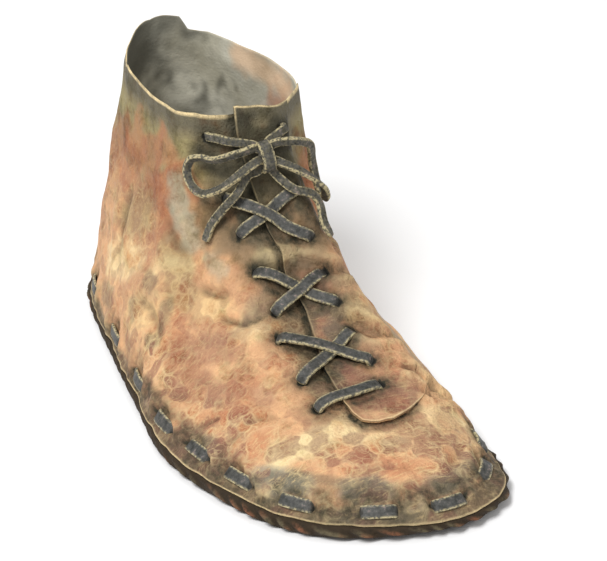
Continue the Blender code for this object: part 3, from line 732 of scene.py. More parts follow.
@dataclass(frozen=True)
class Hide:
    """Shape, stains, painted shade and painted highlight of the hide itself, which the wall and its
    lap share.
    """

    last: Last
    seam: Seam
    lap_thick: float = 1.8
    lap_open: float = 0.4
    hole_radius: float = 2.3

    EDGE = ((0.355, -0.25), (0.38, -0.33), (0.405, -0.355), (0.44, -0.355), (0.50, -0.36),
            (0.58, -0.27), (0.65, -0.19), (0.72, -0.26), (0.78, -0.32), (0.86, -0.50),
            (0.91, -0.68), (0.95, -0.85), (1.0, -0.92))
    ROOT = ((0.355, 0.92), (0.50, 1.20), (0.75, 1.50), (1.0, 1.65))
    FOOT = ((-0.35, 0.385), (-0.30, 0.370), (-0.25, 0.360), (-0.10, 0.355), (0.08, 0.358),
            (0.32, 0.371), (0.53, 0.383), (0.72, 0.388), (0.92, 0.392))
    COLLAR_WAVE = ((-7.0, 0.0), (-6.5, 0.8), (-5.9, 0.9), (-5.62, -1.9), (-5.45, -1.6),
                   (-5.2, 1.0), (-4.6, 0.5), (-4.2, -0.9), (-3.4, 0.1), (-2.9, -0.9), (-2.1, 0.0),
                   (-1.7, -1.2), (-1.05, -2.6), (0.0, -2.8), (1.0, -2.2), (1.5, -1.0), (1.9, 0.5),
                   (2.7, 1.9), (2.98, 1.6), (3.12, -1.0), (3.6, -0.8), (4.5, 0.3), (5.2, -0.4),
                   (5.9, 0.4), (6.28, -1.4), (6.42, 3.6), (6.7, 2.4), (7.0, 0.0))
    LAP_WAVE = ((-1.0, 1.6), (-0.80, 1.5), (-0.55, 0.2), (-0.2, -0.9), (0.6, -1.1), (1.2, -0.9),
                (1.65, -0.4))

    # Base tints by mm down from the collar, and the routes under the bow that get painted shade.
    ZONES = ((0.0, Tint.OLIVE), (5.0, Tint.OLIVE), (8.0, Tint.KHAKI), (15.0, Tint.MOSS),
             (24.0, Tint.MOSS), (46.0, Tint.TAN), (72.0, Tint.VAMP), (120.0, Tint.VAMP))
    BOW_SHADE = (((-1.9, 0.93), (-1.0, 0.90), (0.0, 0.92)), ((0.4, 0.92), (1.3, 0.86)),
                 ((-0.9, 0.88), (-1.4, 0.81)), ((0.7, 0.86), (1.0, 0.78)))

    def edge(self, rise: np.ndarray) -> np.ndarray:
        """Turn of the lap's free edge at a rise."""
        return curve(self.EDGE, rise)

    def root(self, rise: np.ndarray) -> np.ndarray:
        """Turn where the lap has sunk into the wall."""
        return curve(self.ROOT, rise)

    def foot(self, turn: np.ndarray) -> np.ndarray:
        """Rise of the lap's lower edge at a turn."""
        return curve(self.FOOT, turn)

    def short_turn(self, turn: np.ndarray) -> np.ndarray:
        """Turns from -7 to 7, with the toe at 0."""
        half = self.last.around / 2.0
        return (np.asarray(turn, float) + half) % self.last.around - half

    def lap_stand(self, turn: np.ndarray, rise: np.ndarray) -> np.ndarray:
        """How far in mm the lap's face stands over the wall, 0 outside the lap.

        Args:
            turn: Places round the last.
            rise: Shares of the way up.

        Returns:
            Heights in mm.
        """
        turn = self.short_turn(turn)
        edge, root = self.edge(rise), self.root(rise)
        span = np.clip((root - turn) / (root - edge), 0.0, 1.0)
        inside = (turn >= edge) & (np.asarray(rise) >= self.foot(turn))
        return np.where(inside, (self.lap_open + self.lap_thick) * ease(span * 1.7), 0.0)

    def thong_stand(self, turn: np.ndarray, rise: np.ndarray) -> np.ndarray:
        """Height in mm that a taut thong keeps over the wall as it climbs on to the lap.

        Args:
            turn: Places round the last.
            rise: Shares of the way up.

        Returns:
            Heights in mm.
        """
        gap = self.short_turn(turn) - self.edge(rise)
        climb = (self.lap_open + self.lap_thick) * ease((gap + 0.75) / 0.50)
        return np.where(gap < 0.0, climb, self.lap_stand(turn, rise))

    def collar_wave(self, turn: np.ndarray, rise: np.ndarray, rows: tuple) -> np.ndarray:
        """How the cut collar stands over or under its even line.

        Args:
            turn: Places round the last.
            rise: Shares of the way up.
            rows: (turn, mm) of the collar's corners.

        Returns:
            Heights in mm, fading out down the wall.
        """
        return curve(rows, self.short_turn(turn)) * ease((rise - 0.84) / 0.16)

    def patched(self, tint: np.ndarray, points: np.ndarray, patches: tuple,
                layer: Layer, soft: float = 0.80) -> np.ndarray:
        """Lays patches with ragged edges over a tint.

        Args:
            tint: Linear colours at the points.
            points: Places in metres.
            patches: The patches, the last one on top.
            layer: The wall or the lap.
            soft: How broadly each patch fades, in shares of its radius.

        Returns:
            The new colours.
        """
        ragged = 1.0 + 0.50 * lumps(points, 13.0, 2.0) + 0.45 * lumps(points, 5.0, 8.0)
        for patch in patches:
            if patch.layer in (Layer.BOTH, layer):
                gap, _ = away_from(points, self.last.route(patch.rows, 4))
                reach = 1.0 + soft / 2.0 - gap * ragged / patch.radius
                share = patch.strength * ease(reach / soft)
                tint = tint + (np.array(linear(patch.tint)) - tint) * share[..., None]
        return tint

    def folds(self, points: np.ndarray) -> np.ndarray:
        """Heights in mm of all the folds together, at places in metres."""
        bent = points + 2.2 * MM * lumps(points, 15.0, 5.0)[..., None]
        return sum(fold.height(self.last, bent) for fold in FOLDS)

    def holes(self) -> list[tuple[float, float]]:
        """Places (turn, rise) of the lace holes."""
        found = [end for strips in LACE_ENDS.values() for row in strips for end in row[:2]]
        return found + list(BOW_HOLES)

    def height(self, turn: np.ndarray, rise: np.ndarray, points: np.ndarray) -> np.ndarray:
        """Relief of the outer face over the smooth last.

        Args:
            turn: Places round the last.
            rise: Shares of the way up.
            points: The same places in metres.

        Returns:
            Heights in mm.
        """
        found = 1.3 * lumps(points, 26.0, 3.1) + 0.8 * lumps(points, 11.0, 9.7)
        found += 0.30 * lumps(points, 5.0, 21.3)
        found *= ease((1.02 - rise) / 0.10) * 0.7 + 0.3
        found += self.folds(points)
        along, above = self.seam.marks(turn, rise, points)
        found += self.seam.height_mm(along + 0.8 * lumps(points, 9.0, 1.0), above)
        for place in self.holes():
            gap, _ = away_from(points, self.last.route((place, place), 1))
            found += -1.5 * bell(gap / self.hole_radius) + 0.45 * bell((gap - 4.2) / 1.4)
        for strips in LACE_ENDS.values():
            for first, second, _ in strips:
                gap, _ = away_from(points, self.last.route((first, second), 6))
                found -= 0.45 * bell(gap / 3.4)
        low = np.linalg.norm(points - self.last.point(turn, rise * 0.0), axis=-1) / MM
        found += (0.9 + 0.5 * lumps(points, 7.0, 33.0)) * bell(low / 1.5)
        return found

    def stains_and_painted_light(self, turn: np.ndarray, rise: np.ndarray, points: np.ndarray, height: np.ndarray,
               layer: Layer) -> dict[str, np.ndarray]:
        """Paint of the outer face.

        Args:
            turn: Places round the last.
            rise: Shares of the way up.
            points: The same places in metres.
            height: The relief there, in mm.
            layer: The wall or the lap.

        Returns:
            tint, the base colour, with a grime-and-shade share (dirt plus painted shade in troughs,
            folds, holes, round the stitches and under the thongs, lap and bow), a
            wear-and-highlight share (worn cut edges plus painted highlight on ridges) and veins,
            from 0 to 1.
        """
        turn = self.short_turn(turn)
        from_collar = np.linalg.norm(points - self.last.point(turn, rise * 0.0 + 1.0), axis=-1) / MM
        from_collar = from_collar + 2.5 * lumps(points, 12.0, 41.0)
        table = np.array([linear(zone) for _, zone in self.ZONES])
        steps = [step for step, _ in self.ZONES]
        tint = np.stack([np.interp(from_collar, steps, table[:, i]) for i in range(4)], -1)
        tint = self.patched(tint, points, PATCHES, layer)
        along, above = self.seam.marks(turn, rise, points)
        # Painted shade: the wall below the stitch line is tinted olive.
        foot = 0.70 * ease((2.0 - above) / 3.5)
        tint = tint + (np.array(linear(Tint.OLIVE)) - tint) * foot[..., None]
        # Painted shade in the stitch grooves, pucker hollows and creases, and black in the stitch
        # holes.
        grime_and_shade = self.seam.grime_and_shade(along, above)
        # Dirt: noisy dark clouds above the stitches, mostly round the toe.
        cloud = ease((lumps(points, 11.0, 61.0) + 0.42) / 0.60)
        toe_side = ease((3.2 - abs(turn + 0.6)) / 1.2)
        grime_and_shade = np.maximum(grime_and_shade, 0.90 * cloud * ease((16.0 - above) / 11.0)
                           * (0.35 + 0.65 * toe_side))
        # Painted shade below the stitch line, patchy with the dirt clouds.
        grime_and_shade = np.maximum(grime_and_shade, (0.55 + 0.35 * cloud) * ease((-above - 0.6) / 1.8))
        # Painted shade in deep troughs of the relief and along the folds.
        grime_and_shade = np.maximum(grime_and_shade, 0.70 * ease((-height - 1.0) / 2.6))
        folded = self.folds(points)
        grime_and_shade = np.maximum(grime_and_shade, 0.72 * ease((-folded - 0.35) / 2.3))
        # Painted shade: black in the lace holes and a dark halo round each.
        for place in self.holes():
            gap, _ = away_from(points, self.last.route((place, place), 1))
            grime_and_shade = np.maximum(grime_and_shade, 1.6 * ease((3.3 - gap) / 1.5))
            grime_and_shade = np.maximum(grime_and_shade, 0.80 * ease((8.5 - gap) / 5.5))
        # Painted shade round and under each lace thong.
        for strips in LACE_ENDS.values():
            for first, second, _ in strips:
                gap, _ = away_from(points, self.last.route((first, second), 6))
                grime_and_shade = np.maximum(grime_and_shade, 0.95 * ease((7.2 - gap) / 4.0))
                grime_and_shade = np.maximum(grime_and_shade, 0.50 * ease((12.0 - gap) / 7.0))
        # Painted shadow on the wall along the lap's free edge and foot, and painted shade low on
        # the wall below the stitches.
        edge_route = tuple((t, r) for r, t in self.EDGE)
        gap, _ = away_from(points, self.last.route(edge_route, 4))
        foot_gap, _ = away_from(points, self.last.route(self.FOOT[:-2], 4))
        if layer is Layer.WALL:
            grime_and_shade = np.maximum(grime_and_shade, 1.1 * ease((4.4 - np.minimum(gap, foot_gap)) / 3.6))
            grime_and_shade = np.maximum(grime_and_shade, 0.55 * bell((-above - 6.0) / 2.5))
        # Painted shade under the bow.
        for shaded in self.BOW_SHADE:
            gap, _ = away_from(points, self.last.route(shaded, 6))
            grime_and_shade = np.maximum(grime_and_shade, 0.90 * ease((8.5 - gap) / 6.0))
        # Painted highlight: raised ridges of the relief turn pale; the cut edges at the foot and
        # collar are pale with real wear.
        wear_and_highlight = 0.60 * ease((height - 0.7) / 1.8)
        low = np.linalg.norm(points - self.last.point(turn, rise * 0.0), axis=-1) / MM
        wear_and_highlight = np.maximum(wear_and_highlight, 0.9 * ease((0.9 - low) / 0.5))
        rim = np.linalg.norm(points - self.last.point(turn, rise * 0.0 + 1.0), axis=-1) / MM
        wear_and_highlight = np.maximum(wear_and_highlight, 0.95 * ease((0.6 - rim) / 0.5))
        grime_and_shade *= 1.0 - 0.85 * ease((0.6 - low) / 0.3)
        toe = ease((0.46 - rise) / 0.15) * ease((4.0 - abs(turn + 0.8)) / 2.0)
        side = 0.55 * ease((0.75 - rise) / 0.15)
        return {"tint": tint, "grime_and_shade": np.clip(grime_and_shade, 0.0, 1.6), "wear_and_highlight": np.clip(wear_and_highlight, 0.0, 1.0),
                "veins": np.maximum(toe, side)}


@dataclass(frozen=True)
class Upper:
    """The upper: one hide wall, open at collar, throat and underneath, and its lap."""

    hide: Hide
    columns: int = 392
    face_rows: int = 106
    lap_columns: int = 96
    lap_rows: int = 120

    def bent_turn(self, straight: np.ndarray, rise: np.ndarray) -> np.ndarray:
        """Turns of the wall's columns, which follow the lap's edge near the throat.

        Args:
            straight: Even turns.
            rise: Shares of the way up.

        Returns:
            The bent turns.
        """
        shift = self.hide.edge(rise) + 0.4
        away = np.clip(1.0 - abs(straight + 0.4) / 1.7, 0.0, 1.0)
        return straight + shift * away * away * (3.0 - 2.0 * away)

    def build_wall(self, materials: list) -> bpy.types.Object:
        """The hollow wall: up its outer face, over the rim and down its inner face.

        Args:
            materials: Outer and inner finish.

        Returns:
            The piece.
        """
        hide, last = self.hide, self.hide.last
        up = bunched(self.face_rows, 0.45)
        down = up[::-1]
        rim = np.radians([30.0, 60.0, 90.0, 120.0, 150.0])
        rises = np.concatenate([up, np.ones(len(rim)), down, [0.0, 0.0]])
        depth = np.concatenate([up * 0.0, 0.5 - 0.5 * np.cos(rim), down * 0.0 + 1.0, [0.6, 0.0]])
        over = np.concatenate([up * 0.0, np.sin(rim), down * 0.0, [0.0, 0.0]])
        straight = np.linspace(-7.0, 7.0, self.columns + 1)
        turn = self.bent_turn(np.tile(straight, (len(rises), 1)), rises[:, None])
        rise = np.tile(rises[:, None], (1, self.columns + 1))
        points, out = last.point(turn, rise), last.normal(turn, rise)
        height = hide.height(turn, rise, points)
        height[:, -1] = height[:, 0]
        inner = np.where(height > 0.0, 0.45, 0.85) * height
        thick = last.wall / MM * (1.0 - 0.60 * ease((rise - 0.90) / 0.10))
        lift = height + (inner - height) * depth[:, None] - thick * depth[:, None]
        placed = points + out * (lift * MM)[..., None]
        wave = hide.collar_wave(turn, rise, hide.COLLAR_WAVE)
        placed[..., 2] += (wave + over[:, None] * last.wall / MM * 0.4) * MM
        paint = hide.stains_and_painted_light(turn, rise, points, height, Layer.WALL)
        inside = hide.patched(np.broadcast_to(linear(Tint.FLESH), points.shape[:2] + (4,)).copy(),
                              points, INSIDE, Layer.WALL, 1.5)
        paint["tint"] = np.where((depth > 0.55)[:, None, None], inside, paint["tint"])
        paint["wear_and_highlight"] = paint["wear_and_highlight"] * (1.0 - ease((depth[:, None] - 0.45) / 0.3))
        paint["inner"] = np.tile((depth > 0.55)[:, None] * 1.0, (1, self.columns + 1))
        placed[:, -1] = placed[:, 0]
        work = placed_grid(placed, paint)
        self.cut_throat(work, rises)
        closed_up(work)
        return finish_piece(work, "upper_wall", materials, ("upper",))

    def cut_throat(self, work: bmesh.types.BMesh, rises: np.ndarray) -> None:
        """Cuts the throat's slit under the lap and closes its cut sides.

        Args:
            work: The wall's grid, its points still in order.
            rises: Rise of each row of the grid.
        """
        work.verts.ensure_lookup_table()
        wide = self.columns + 1
        middle = self.columns // 2
        section = self.columns // self.hide.last.around
        first, second = middle, middle + section // 5
        top = [j for j in range(len(rises)) if rises[j] >= 0.50]
        low, high = top[0], top[-1]
        held = list(work.verts)
        spare = [f for f in work.faces
                 if all(first <= v.index % wide <= second and low <= v.index // wide <= high
                        for v in f.verts)]
        bmesh.ops.delete(work, geom=spare, context="FACES_ONLY")
        for column in (first, second):
            side = [held[j * wide + column] for j in range(low, high + 1)]
            for i in range(len(side) // 2):
                ring = list(dict.fromkeys([side[i], side[i + 1], side[-2 - i], side[-1 - i]]))
                if len(ring) > 2:
                    work.faces.new(ring)
        for a in range(first, second):
            work.faces.new([held[low * wide + a], held[low * wide + a + 1],
                            held[high * wide + a + 1], held[high * wide + a]])
        loose = [v for v in work.verts if not v.link_faces]
        bmesh.ops.delete(work, geom=loose, context="VERTS")

    def build_lap(self, materials: list) -> bpy.types.Object:
        """The lap: a thick sheet with rounded edges that sinks into the wall at its root.

        Args:
            materials: Outer and inner finish.

        Returns:
            The piece.
        """
        hide, last = self.hide, self.hide.last
        even = np.linspace(0.0, 1.0, self.lap_columns)
        across = 0.22 * even + 0.78 * even ** 2
        upward = bunched(self.lap_rows, 0.86)
        guess = 0.355 + 0.645 * upward[:, None]
        turn = hide.edge(guess) + across * (hide.root(guess) - hide.edge(guess))
        rise = hide.foot(turn) + (1.0 - hide.foot(turn)) * upward[:, None]
        turn = hide.edge(np.maximum(rise, guess)) + across * (hide.root(rise)
                                                              - hide.edge(np.maximum(rise, guess)))
        points, out = last.point(turn, rise), last.normal(turn, rise)
        step = np.linalg.norm(np.diff(points, axis=1), axis=-1)
        from_edge = np.concatenate([step[:, :1] * 0.0, np.cumsum(step, axis=1)], axis=1) / MM
        step = np.linalg.norm(np.diff(points, axis=0), axis=-1)
        from_foot = np.concatenate([step[:1] * 0.0, np.cumsum(step, axis=0)], axis=0) / MM
        from_top = from_foot[-1:] - from_foot
        half = hide.lap_thick / 2.0
        body = 1.0
        for gap in (from_edge, from_foot, from_top):
            body = body * np.sqrt(1.0 - np.square(1.0 - np.clip(gap / half, 0.0, 1.0)))
        span = np.clip((hide.root(rise) - turn) / (hide.root(rise) - hide.edge(rise)), 0.0, 1.0)
        stand = ease(span * 1.7)
        height = hide.height(turn, rise, points)
        curl = 0.7 * bell(np.minimum(from_edge, from_foot + 1.0) / 3.5) * stand
        middle = (hide.lap_open + half + curl) * stand - 0.55 * (1.0 - stand)
        half_here = (half * stand + 0.52 * (1.0 - stand)) * body
        sheets = []
        for sign in (1.0, -1.0):
            lift = height + middle + sign * half_here
            sheets.append(points + out * (lift * MM)[..., None])
        wave = hide.collar_wave(turn, rise, hide.LAP_WAVE)
        for sheet in sheets:
            sheet[..., 2] += (wave + 0.9 * ease((rise - 0.97) / 0.03)) * MM
        paint = hide.stains_and_painted_light(turn, rise, points, height, Layer.LAP)
        border = np.minimum(np.minimum(from_edge, from_top), from_foot)
        rim = bell((border - 0.45) / 0.35) * ease(span * 4.0)
        rim = rim * (0.25 + 0.75 * np.maximum(ease((0.46 - rise) / 0.05),
                                              ease((rise - 0.975) / 0.02)))
        paint["wear_and_highlight"] = np.clip(np.maximum(paint["wear_and_highlight"], 0.9 * rim), 0.0, 1.0)
        # Painted shade on the lap's cut sides, darkest at its very border.
        paint["grime_and_shade"] = paint["grime_and_shade"] * (1.0 - 0.7 * rim) + 0.8 * ease((0.25 - border) / 0.2)
        both = {}
        for name, table in paint.items():
            both[name] = np.concatenate([table[:, ::-1], table[:, 1:]], axis=1)
        grid = np.concatenate([sheets[0][:, ::-1], sheets[1][:, 1:]], axis=1)
        hidden = np.concatenate([rise * 0.0, rise[:, 1:] * 0.0 + 1.0], axis=1)
        both["inner"] = hidden
        work = closed_up(placed_grid(grid, both), fill=True)
        return finish_piece(work, "upper_lap", materials, ("upper",))


@dataclass(frozen=True)
class Thong:
    """A flat thong cut from hide, sizes in mm."""

    width: float = 5.5
    thickness: float = 1.9
    around: int = 18

    def sweep(self, centre: np.ndarray, out: np.ndarray, tilt: np.ndarray | float = 0.0,
              point: tuple[float, float] = (1.7, 1.7), seed: float = 0.0) -> bmesh.types.BMesh:
        """A thong along a line, its ends rounded.

        Args:
            centre: The line's points, in metres.
            out: The direction that the thong's face looks in, at each point.
            tilt: How far the face leans about the line, in degrees.
            point: mm over which each end narrows.
            seed: Shift of its unevenness.

        Returns:
            The closed thong, with its layer edge.
        """
        along = unit(np.gradient(centre, axis=0))
        side = unit(np.cross(along, out))
        face = unit(np.cross(side, along))
        lean = np.radians(np.broadcast_to(tilt, (len(centre),)))[:, None]
        side, face = (side * np.cos(lean) + face * np.sin(lean),
                      face * np.cos(lean) - side * np.sin(lean))
        run = np.concatenate([[0.0], np.cumsum(np.linalg.norm(np.diff(centre, axis=0), axis=1))])
        run /= MM
        narrow = np.ones(len(run))
        thin = np.ones(len(run))
        for gap, reach in ((run, point[0]), (run[-1] - run, point[1])):
            narrow *= np.sqrt(1.0 - np.square(1.0 - np.clip(gap / reach, 0.0, 1.0)))
            thin *= np.sqrt(1.0 - np.square(1.0 - np.clip(gap / 0.8, 0.0, 1.0)))
        angle = np.linspace(0.0, 2.0 * math.pi, self.around + 1)
        across = np.sign(np.cos(angle)) * abs(np.cos(angle)) ** 0.40
        upward = np.sign(np.sin(angle)) * abs(np.sin(angle)) ** 0.55
        uneven = 1.0 + 0.05 * lumps(centre, 5.0, seed) + 0.03 * lumps(centre, 1.6, seed + 5.0)
        half = 0.5 * self.width * MM * (narrow * uneven)[:, None, None]
        deep = 0.5 * self.thickness * MM * thin[:, None, None]
        cup = 1.0 - 0.16 * bell(across / 0.6)
        grid = (centre[:, None] + side[:, None] * half * across[:, None]
                + face[:, None] * deep * (upward * cup)[:, None])
        grid[:, -1] = grid[:, 0]
        edge = np.tile(abs(across) ** 5, (len(run), 1))
        return closed_up(placed_grid(grid, {"edge": edge}), fill=True)


@dataclass(frozen=True)
class Lacing:
    """Thongs that cross the lap from hole to hole."""

    hide: Hide
    thong: Thong
    clear: float = 0.55
    dip: float = 1.7

    def strip(self, first: tuple, second: tuple, over: int, seed: float) -> bmesh.types.BMesh:
        """One thong from hole to hole.

        Args:
            first: (turn, rise) of one hole.
            second: (turn, rise) of the other.
            over: 1 if it lies over the thong that it crosses, else 0.
            seed: Shift of its unevenness.

        Returns:
            The thong.
        """
        last = self.hide.last
        share = bunched(64, 0.7)
        turn, rise = last.straight(first, second, share * 1.07 - 0.035)
        face, out = last.point(turn, rise), last.normal(turn, rise)
        relief = self.hide.height(turn, rise, face)
        calm = np.linspace(relief[8], relief[-9], len(relief))
        relief = np.where(abs(share - 0.5) < 0.36, np.maximum(relief, calm), relief)
        kernel = np.ones(15) / 15.0
        relief = np.convolve(np.pad(relief, 7, mode="edge"), kernel, mode="valid")
        run = np.concatenate([[0.0], np.cumsum(np.linalg.norm(np.diff(face, axis=0), axis=1))]) / MM
        end = np.minimum(run, run[-1] - run)
        lift = self.hide.thong_stand(turn, rise) + relief + self.clear + self.thong.thickness / 2.0
        bump = ease(np.clip(1.0 - abs(share - 0.5) / 0.36, 0.0, 1.0) * 1.3)
        lift = lift + over * self.thong.thickness * 0.95 * bump
        lift = lift - (self.clear + self.dip) * (1.0 - ease(end / 2.8))
        centre = face + out * (lift * MM)[:, None]
        return self.thong.sweep(centre, out, 0.0, (1.5, 1.5), seed)

    def build(self, material: bpy.types.Material) -> None:
        """Makes each crossing and the bar.

        Args:
            material: The thong's finish.
        """
        for number, (name, strips) in enumerate(LACE_ENDS.items()):
            made = [self.strip(a, b, over, 3.0 * number + i)
                    for i, (a, b, over) in enumerate(strips)]
            finish_piece(join_meshes(made), name + "_thong", [material], (name,))


@dataclass(frozen=True)
class Bow:
    """The bow: two thongs, each from its top hole through the knot, a loop and a tail.

    Route rows are (turn, rise, lift in thong widths, lean in degrees).
    """

    hide: Hide
    thong: Thong
    widths: float = 5.5

    LATERAL = ((-1.73, 0.963, -0.35, 0), (-1.62, 0.963, 0.10, 0), (-1.40, 0.961, 0.25, 0),
               (-1.10, 0.955, 0.35, 0), (-0.72, 0.950, 0.45, 5), (-0.40, 0.946, 0.60, 10),
               (-0.16, 0.938, 0.95, 15), (-0.47, 0.942, 1.00, 25), (-0.74, 0.937, 1.05, 35),
               (-1.03, 0.930, 1.15, 42), (-1.40, 0.924, 1.10, 48), (-1.76, 0.930, 0.95, 50),
               (-2.08, 0.920, 0.80, 45), (-2.21, 0.890, 0.70, 35), (-1.97, 0.868, 0.80, 35),
               (-1.63, 0.858, 1.05, 40), (-1.28, 0.865, 1.35, 40), (-1.01, 0.882, 1.50, 35),
               (-0.72, 0.908, 1.45, 25), (-0.40, 0.922, 1.25, 15), (-0.14, 0.920, 0.80, 5),
               (-0.40, 0.905, 0.62, 0), (-0.68, 0.895, 0.55, 0), (-0.84, 0.876, 0.65, 5),
               (-0.97, 0.855, 0.90, 10), (-1.24, 0.828, 0.60, 10), (-1.53, 0.795, 0.30, 5),
               (-1.69, 0.755, 0.25, 0))
    MEDIAL = ((1.08, 0.958, -0.35, 0), (0.99, 0.957, 0.10, 0), (0.86, 0.955, 0.25, 0),
              (0.62, 0.952, 0.40, 0), (0.30, 0.948, 0.60, -5), (0.02, 0.940, 0.95, -10),
              (0.30, 0.941, 1.00, -20), (0.50, 0.941, 1.05, -30), (0.66, 0.938, 1.15, -38),
              (0.88, 0.930, 1.30, -45), (1.22, 0.915, 1.25, -50), (1.52, 0.897, 1.10, -50),
              (1.84, 0.882, 0.90, -45), (2.04, 0.850, 0.75, -35), (1.98, 0.808, 0.70, -30),
              (1.70, 0.792, 0.80, -35), (1.40, 0.803, 1.00, -38), (1.08, 0.830, 1.25, -35),
              (0.86, 0.868, 1.40, -30), (0.55, 0.905, 1.35, -20), (0.25, 0.920, 1.10, -10),
              (0.03, 0.915, 0.80, 0), (0.27, 0.900, 0.62, 0), (0.46, 0.880, 0.60, 0),
              (0.68, 0.850, 0.75, -5), (0.92, 0.825, 0.75, -8), (1.02, 0.800, 0.55, -5),
              (0.98, 0.768, 0.30, 0), (1.00, 0.735, 0.25, 0))
    KNOT = (-0.08, 0.928, 0.98)

    def place(self, turn: float, rise: float, lift: float) -> np.ndarray:
        """A point over the lacing.

        Args:
            turn: Place round the last.
            rise: Share of the way up.
            lift: Height in thong widths.

        Returns:
            The place in metres.
        """
        last = self.hide.last
        height = float(self.hide.thong_stand(np.array(turn), np.array(rise))) + 1.6
        return (last.point(np.array(turn), np.array(rise))
                + last.normal(np.array(turn), np.array(rise)) * (height + lift * self.widths) * MM)

    def route(self, rows: tuple) -> tuple[np.ndarray, np.ndarray, np.ndarray]:
        """A smooth line through a thong's rows.

        Args:
            rows: The route's rows.

        Returns:
            The line's points, its face's directions and its lean.
        """
        table = np.array(rows, float)
        centre = np.array([self.place(*row[:3]) for row in table])
        out = self.hide.last.normal(table[:, 0], table[:, 1])
        whole = np.column_stack([centre, out, table[:, 3]])
        ends = np.vstack([2 * whole[0] - whole[1], whole, 2 * whole[-1] - whole[-2]])
        spots = np.linspace(0.0, len(table) - 1.0, 10 * len(table))
        first = np.minimum(spots.astype(int), len(table) - 2)
        t = (spots - first)[:, None]
        a, b, c, d = (ends[first + step] for step in (0, 1, 2, 3))
        found = 0.5 * (2 * b + (c - a) * t + (2 * a - 5 * b + 4 * c - d) * t ** 2
                       + (3 * b - a - 3 * c + d) * t ** 3)
        return found[:, :3], unit(found[:, 3:6]), found[:, 6]

    def knot(self) -> bmesh.types.BMesh:
        """The knot: a band drawn over the thongs, round a small core.

        Returns:
            The knot's mesh.
        """
        last = self.hide.last
        turn, rise, lift = self.KNOT
        middle = self.place(turn, rise, lift)
        out = last.normal(np.array(turn), np.array(rise))
        ahead = unit(last.point(np.array(turn), np.array(rise + 0.01))
                     - last.point(np.array(turn), np.array(rise - 0.01)))
        side = np.cross(ahead, out)
        swing = np.radians(np.linspace(-55.0, 235.0, 48))
        band = (middle + np.outer(np.cos(swing) * 6.0 * MM, -ahead)
                + np.outer(np.sin(swing) * 4.5 * MM + 0.3 * MM, out)
                + np.outer(np.cos(swing) * 0.5 * MM, side))
        facing = unit(band - middle)
        parts = [Thong(5.8, 2.2).sweep(band, facing, 0.0, (2.0, 2.6), 17.0)]
        polar = np.linspace(0.0, math.pi, 15)
        turned = np.linspace(0.0, 2.0 * math.pi, 25)
        shape = np.stack([np.outer(np.sin(polar), np.cos(turned)) * 2.9,
                          np.outer(np.cos(polar), np.ones(25)) * 4.2,
                          np.outer(np.sin(polar), np.sin(turned)) * 3.2], -1)
        core = middle + (shape[..., :1] * side + shape[..., 1:2] * ahead
                         + shape[..., 2:] * out) * MM
        core[:, -1] = core[:, 0]
        flat = np.zeros(core.shape[:2])
        parts.append(closed_up(placed_grid(core, {"edge": flat})))
        return join_meshes(parts)

    def build(self, material: bpy.types.Material) -> None:
        """Args:
            material: The thong's finish.
        """
        knot = finish_piece(self.knot(), "bow_knot_thong", [material], ("bow_knot",))
        for name, rows, seed in (("lateral", self.LATERAL, 31.0), ("medial", self.MEDIAL, 57.0)):
            centre, out, lean = self.route(rows)
            mesh = self.thong.sweep(centre, out, lean, (1.0, 1.6 if name == "lateral" else 6.0),
                                    seed)
            nodes = ("bow_tie_" + name, "bow_loop_" + name, "bow_tail_" + name)
            piece = finish_piece(mesh, "bow_thong_" + name, [material], nodes)


@dataclass(frozen=True)
class MarginStitches:
    """Thong stitches through the wall over the sole's margin."""

    hide: Hide
    thong: Thong

    def build(self, material: bpy.types.Material) -> None:
        """Makes each stitch along the seam's line.

        Args:
            material: The thong's finish.
        """
        last, seam = self.hide.last, self.hide.seam
        turns, rises, run = seam.line()
        for number, place in enumerate(STITCH_PLACES, 1):
            middle = np.interp(place, turns, run)
            half = seam.length / 2.0 + 0.4
            span = middle + (bunched(40, 0.7) * 2.0 - 1.0) * half
            turn = np.interp(span % run[-1], run, turns)
            rise = np.interp(turn, turns, rises) + 0.006 * math.sin(5.1 * number)
            face, out = last.point(turn, rise), last.normal(turn, rise)
            relief = self.hide.height(turn, rise, face)
            relief = np.convolve(np.pad(relief, 4, mode="edge"), np.ones(9) / 9.0, mode="valid")
            end = half - abs(span - middle)
            lift = relief + 0.45 + 0.5 * self.thong.thickness * 0.8
            lift = lift - 2.4 * (1.0 - ease(end / 2.6)) + 0.35 * bell((end - half) / 5.0)
            centre = face + out * (lift * MM)[:, None]
            slim = Thong(self.thong.width * 1.04, self.thong.thickness * 0.8, self.thong.around)
            mesh = slim.sweep(centre, out, 0.0, (1.5, 1.5), 2.0 * number)
            node = "stitch_%02d" % number
            finish_piece(mesh, node + "_thong", [material], (node,))


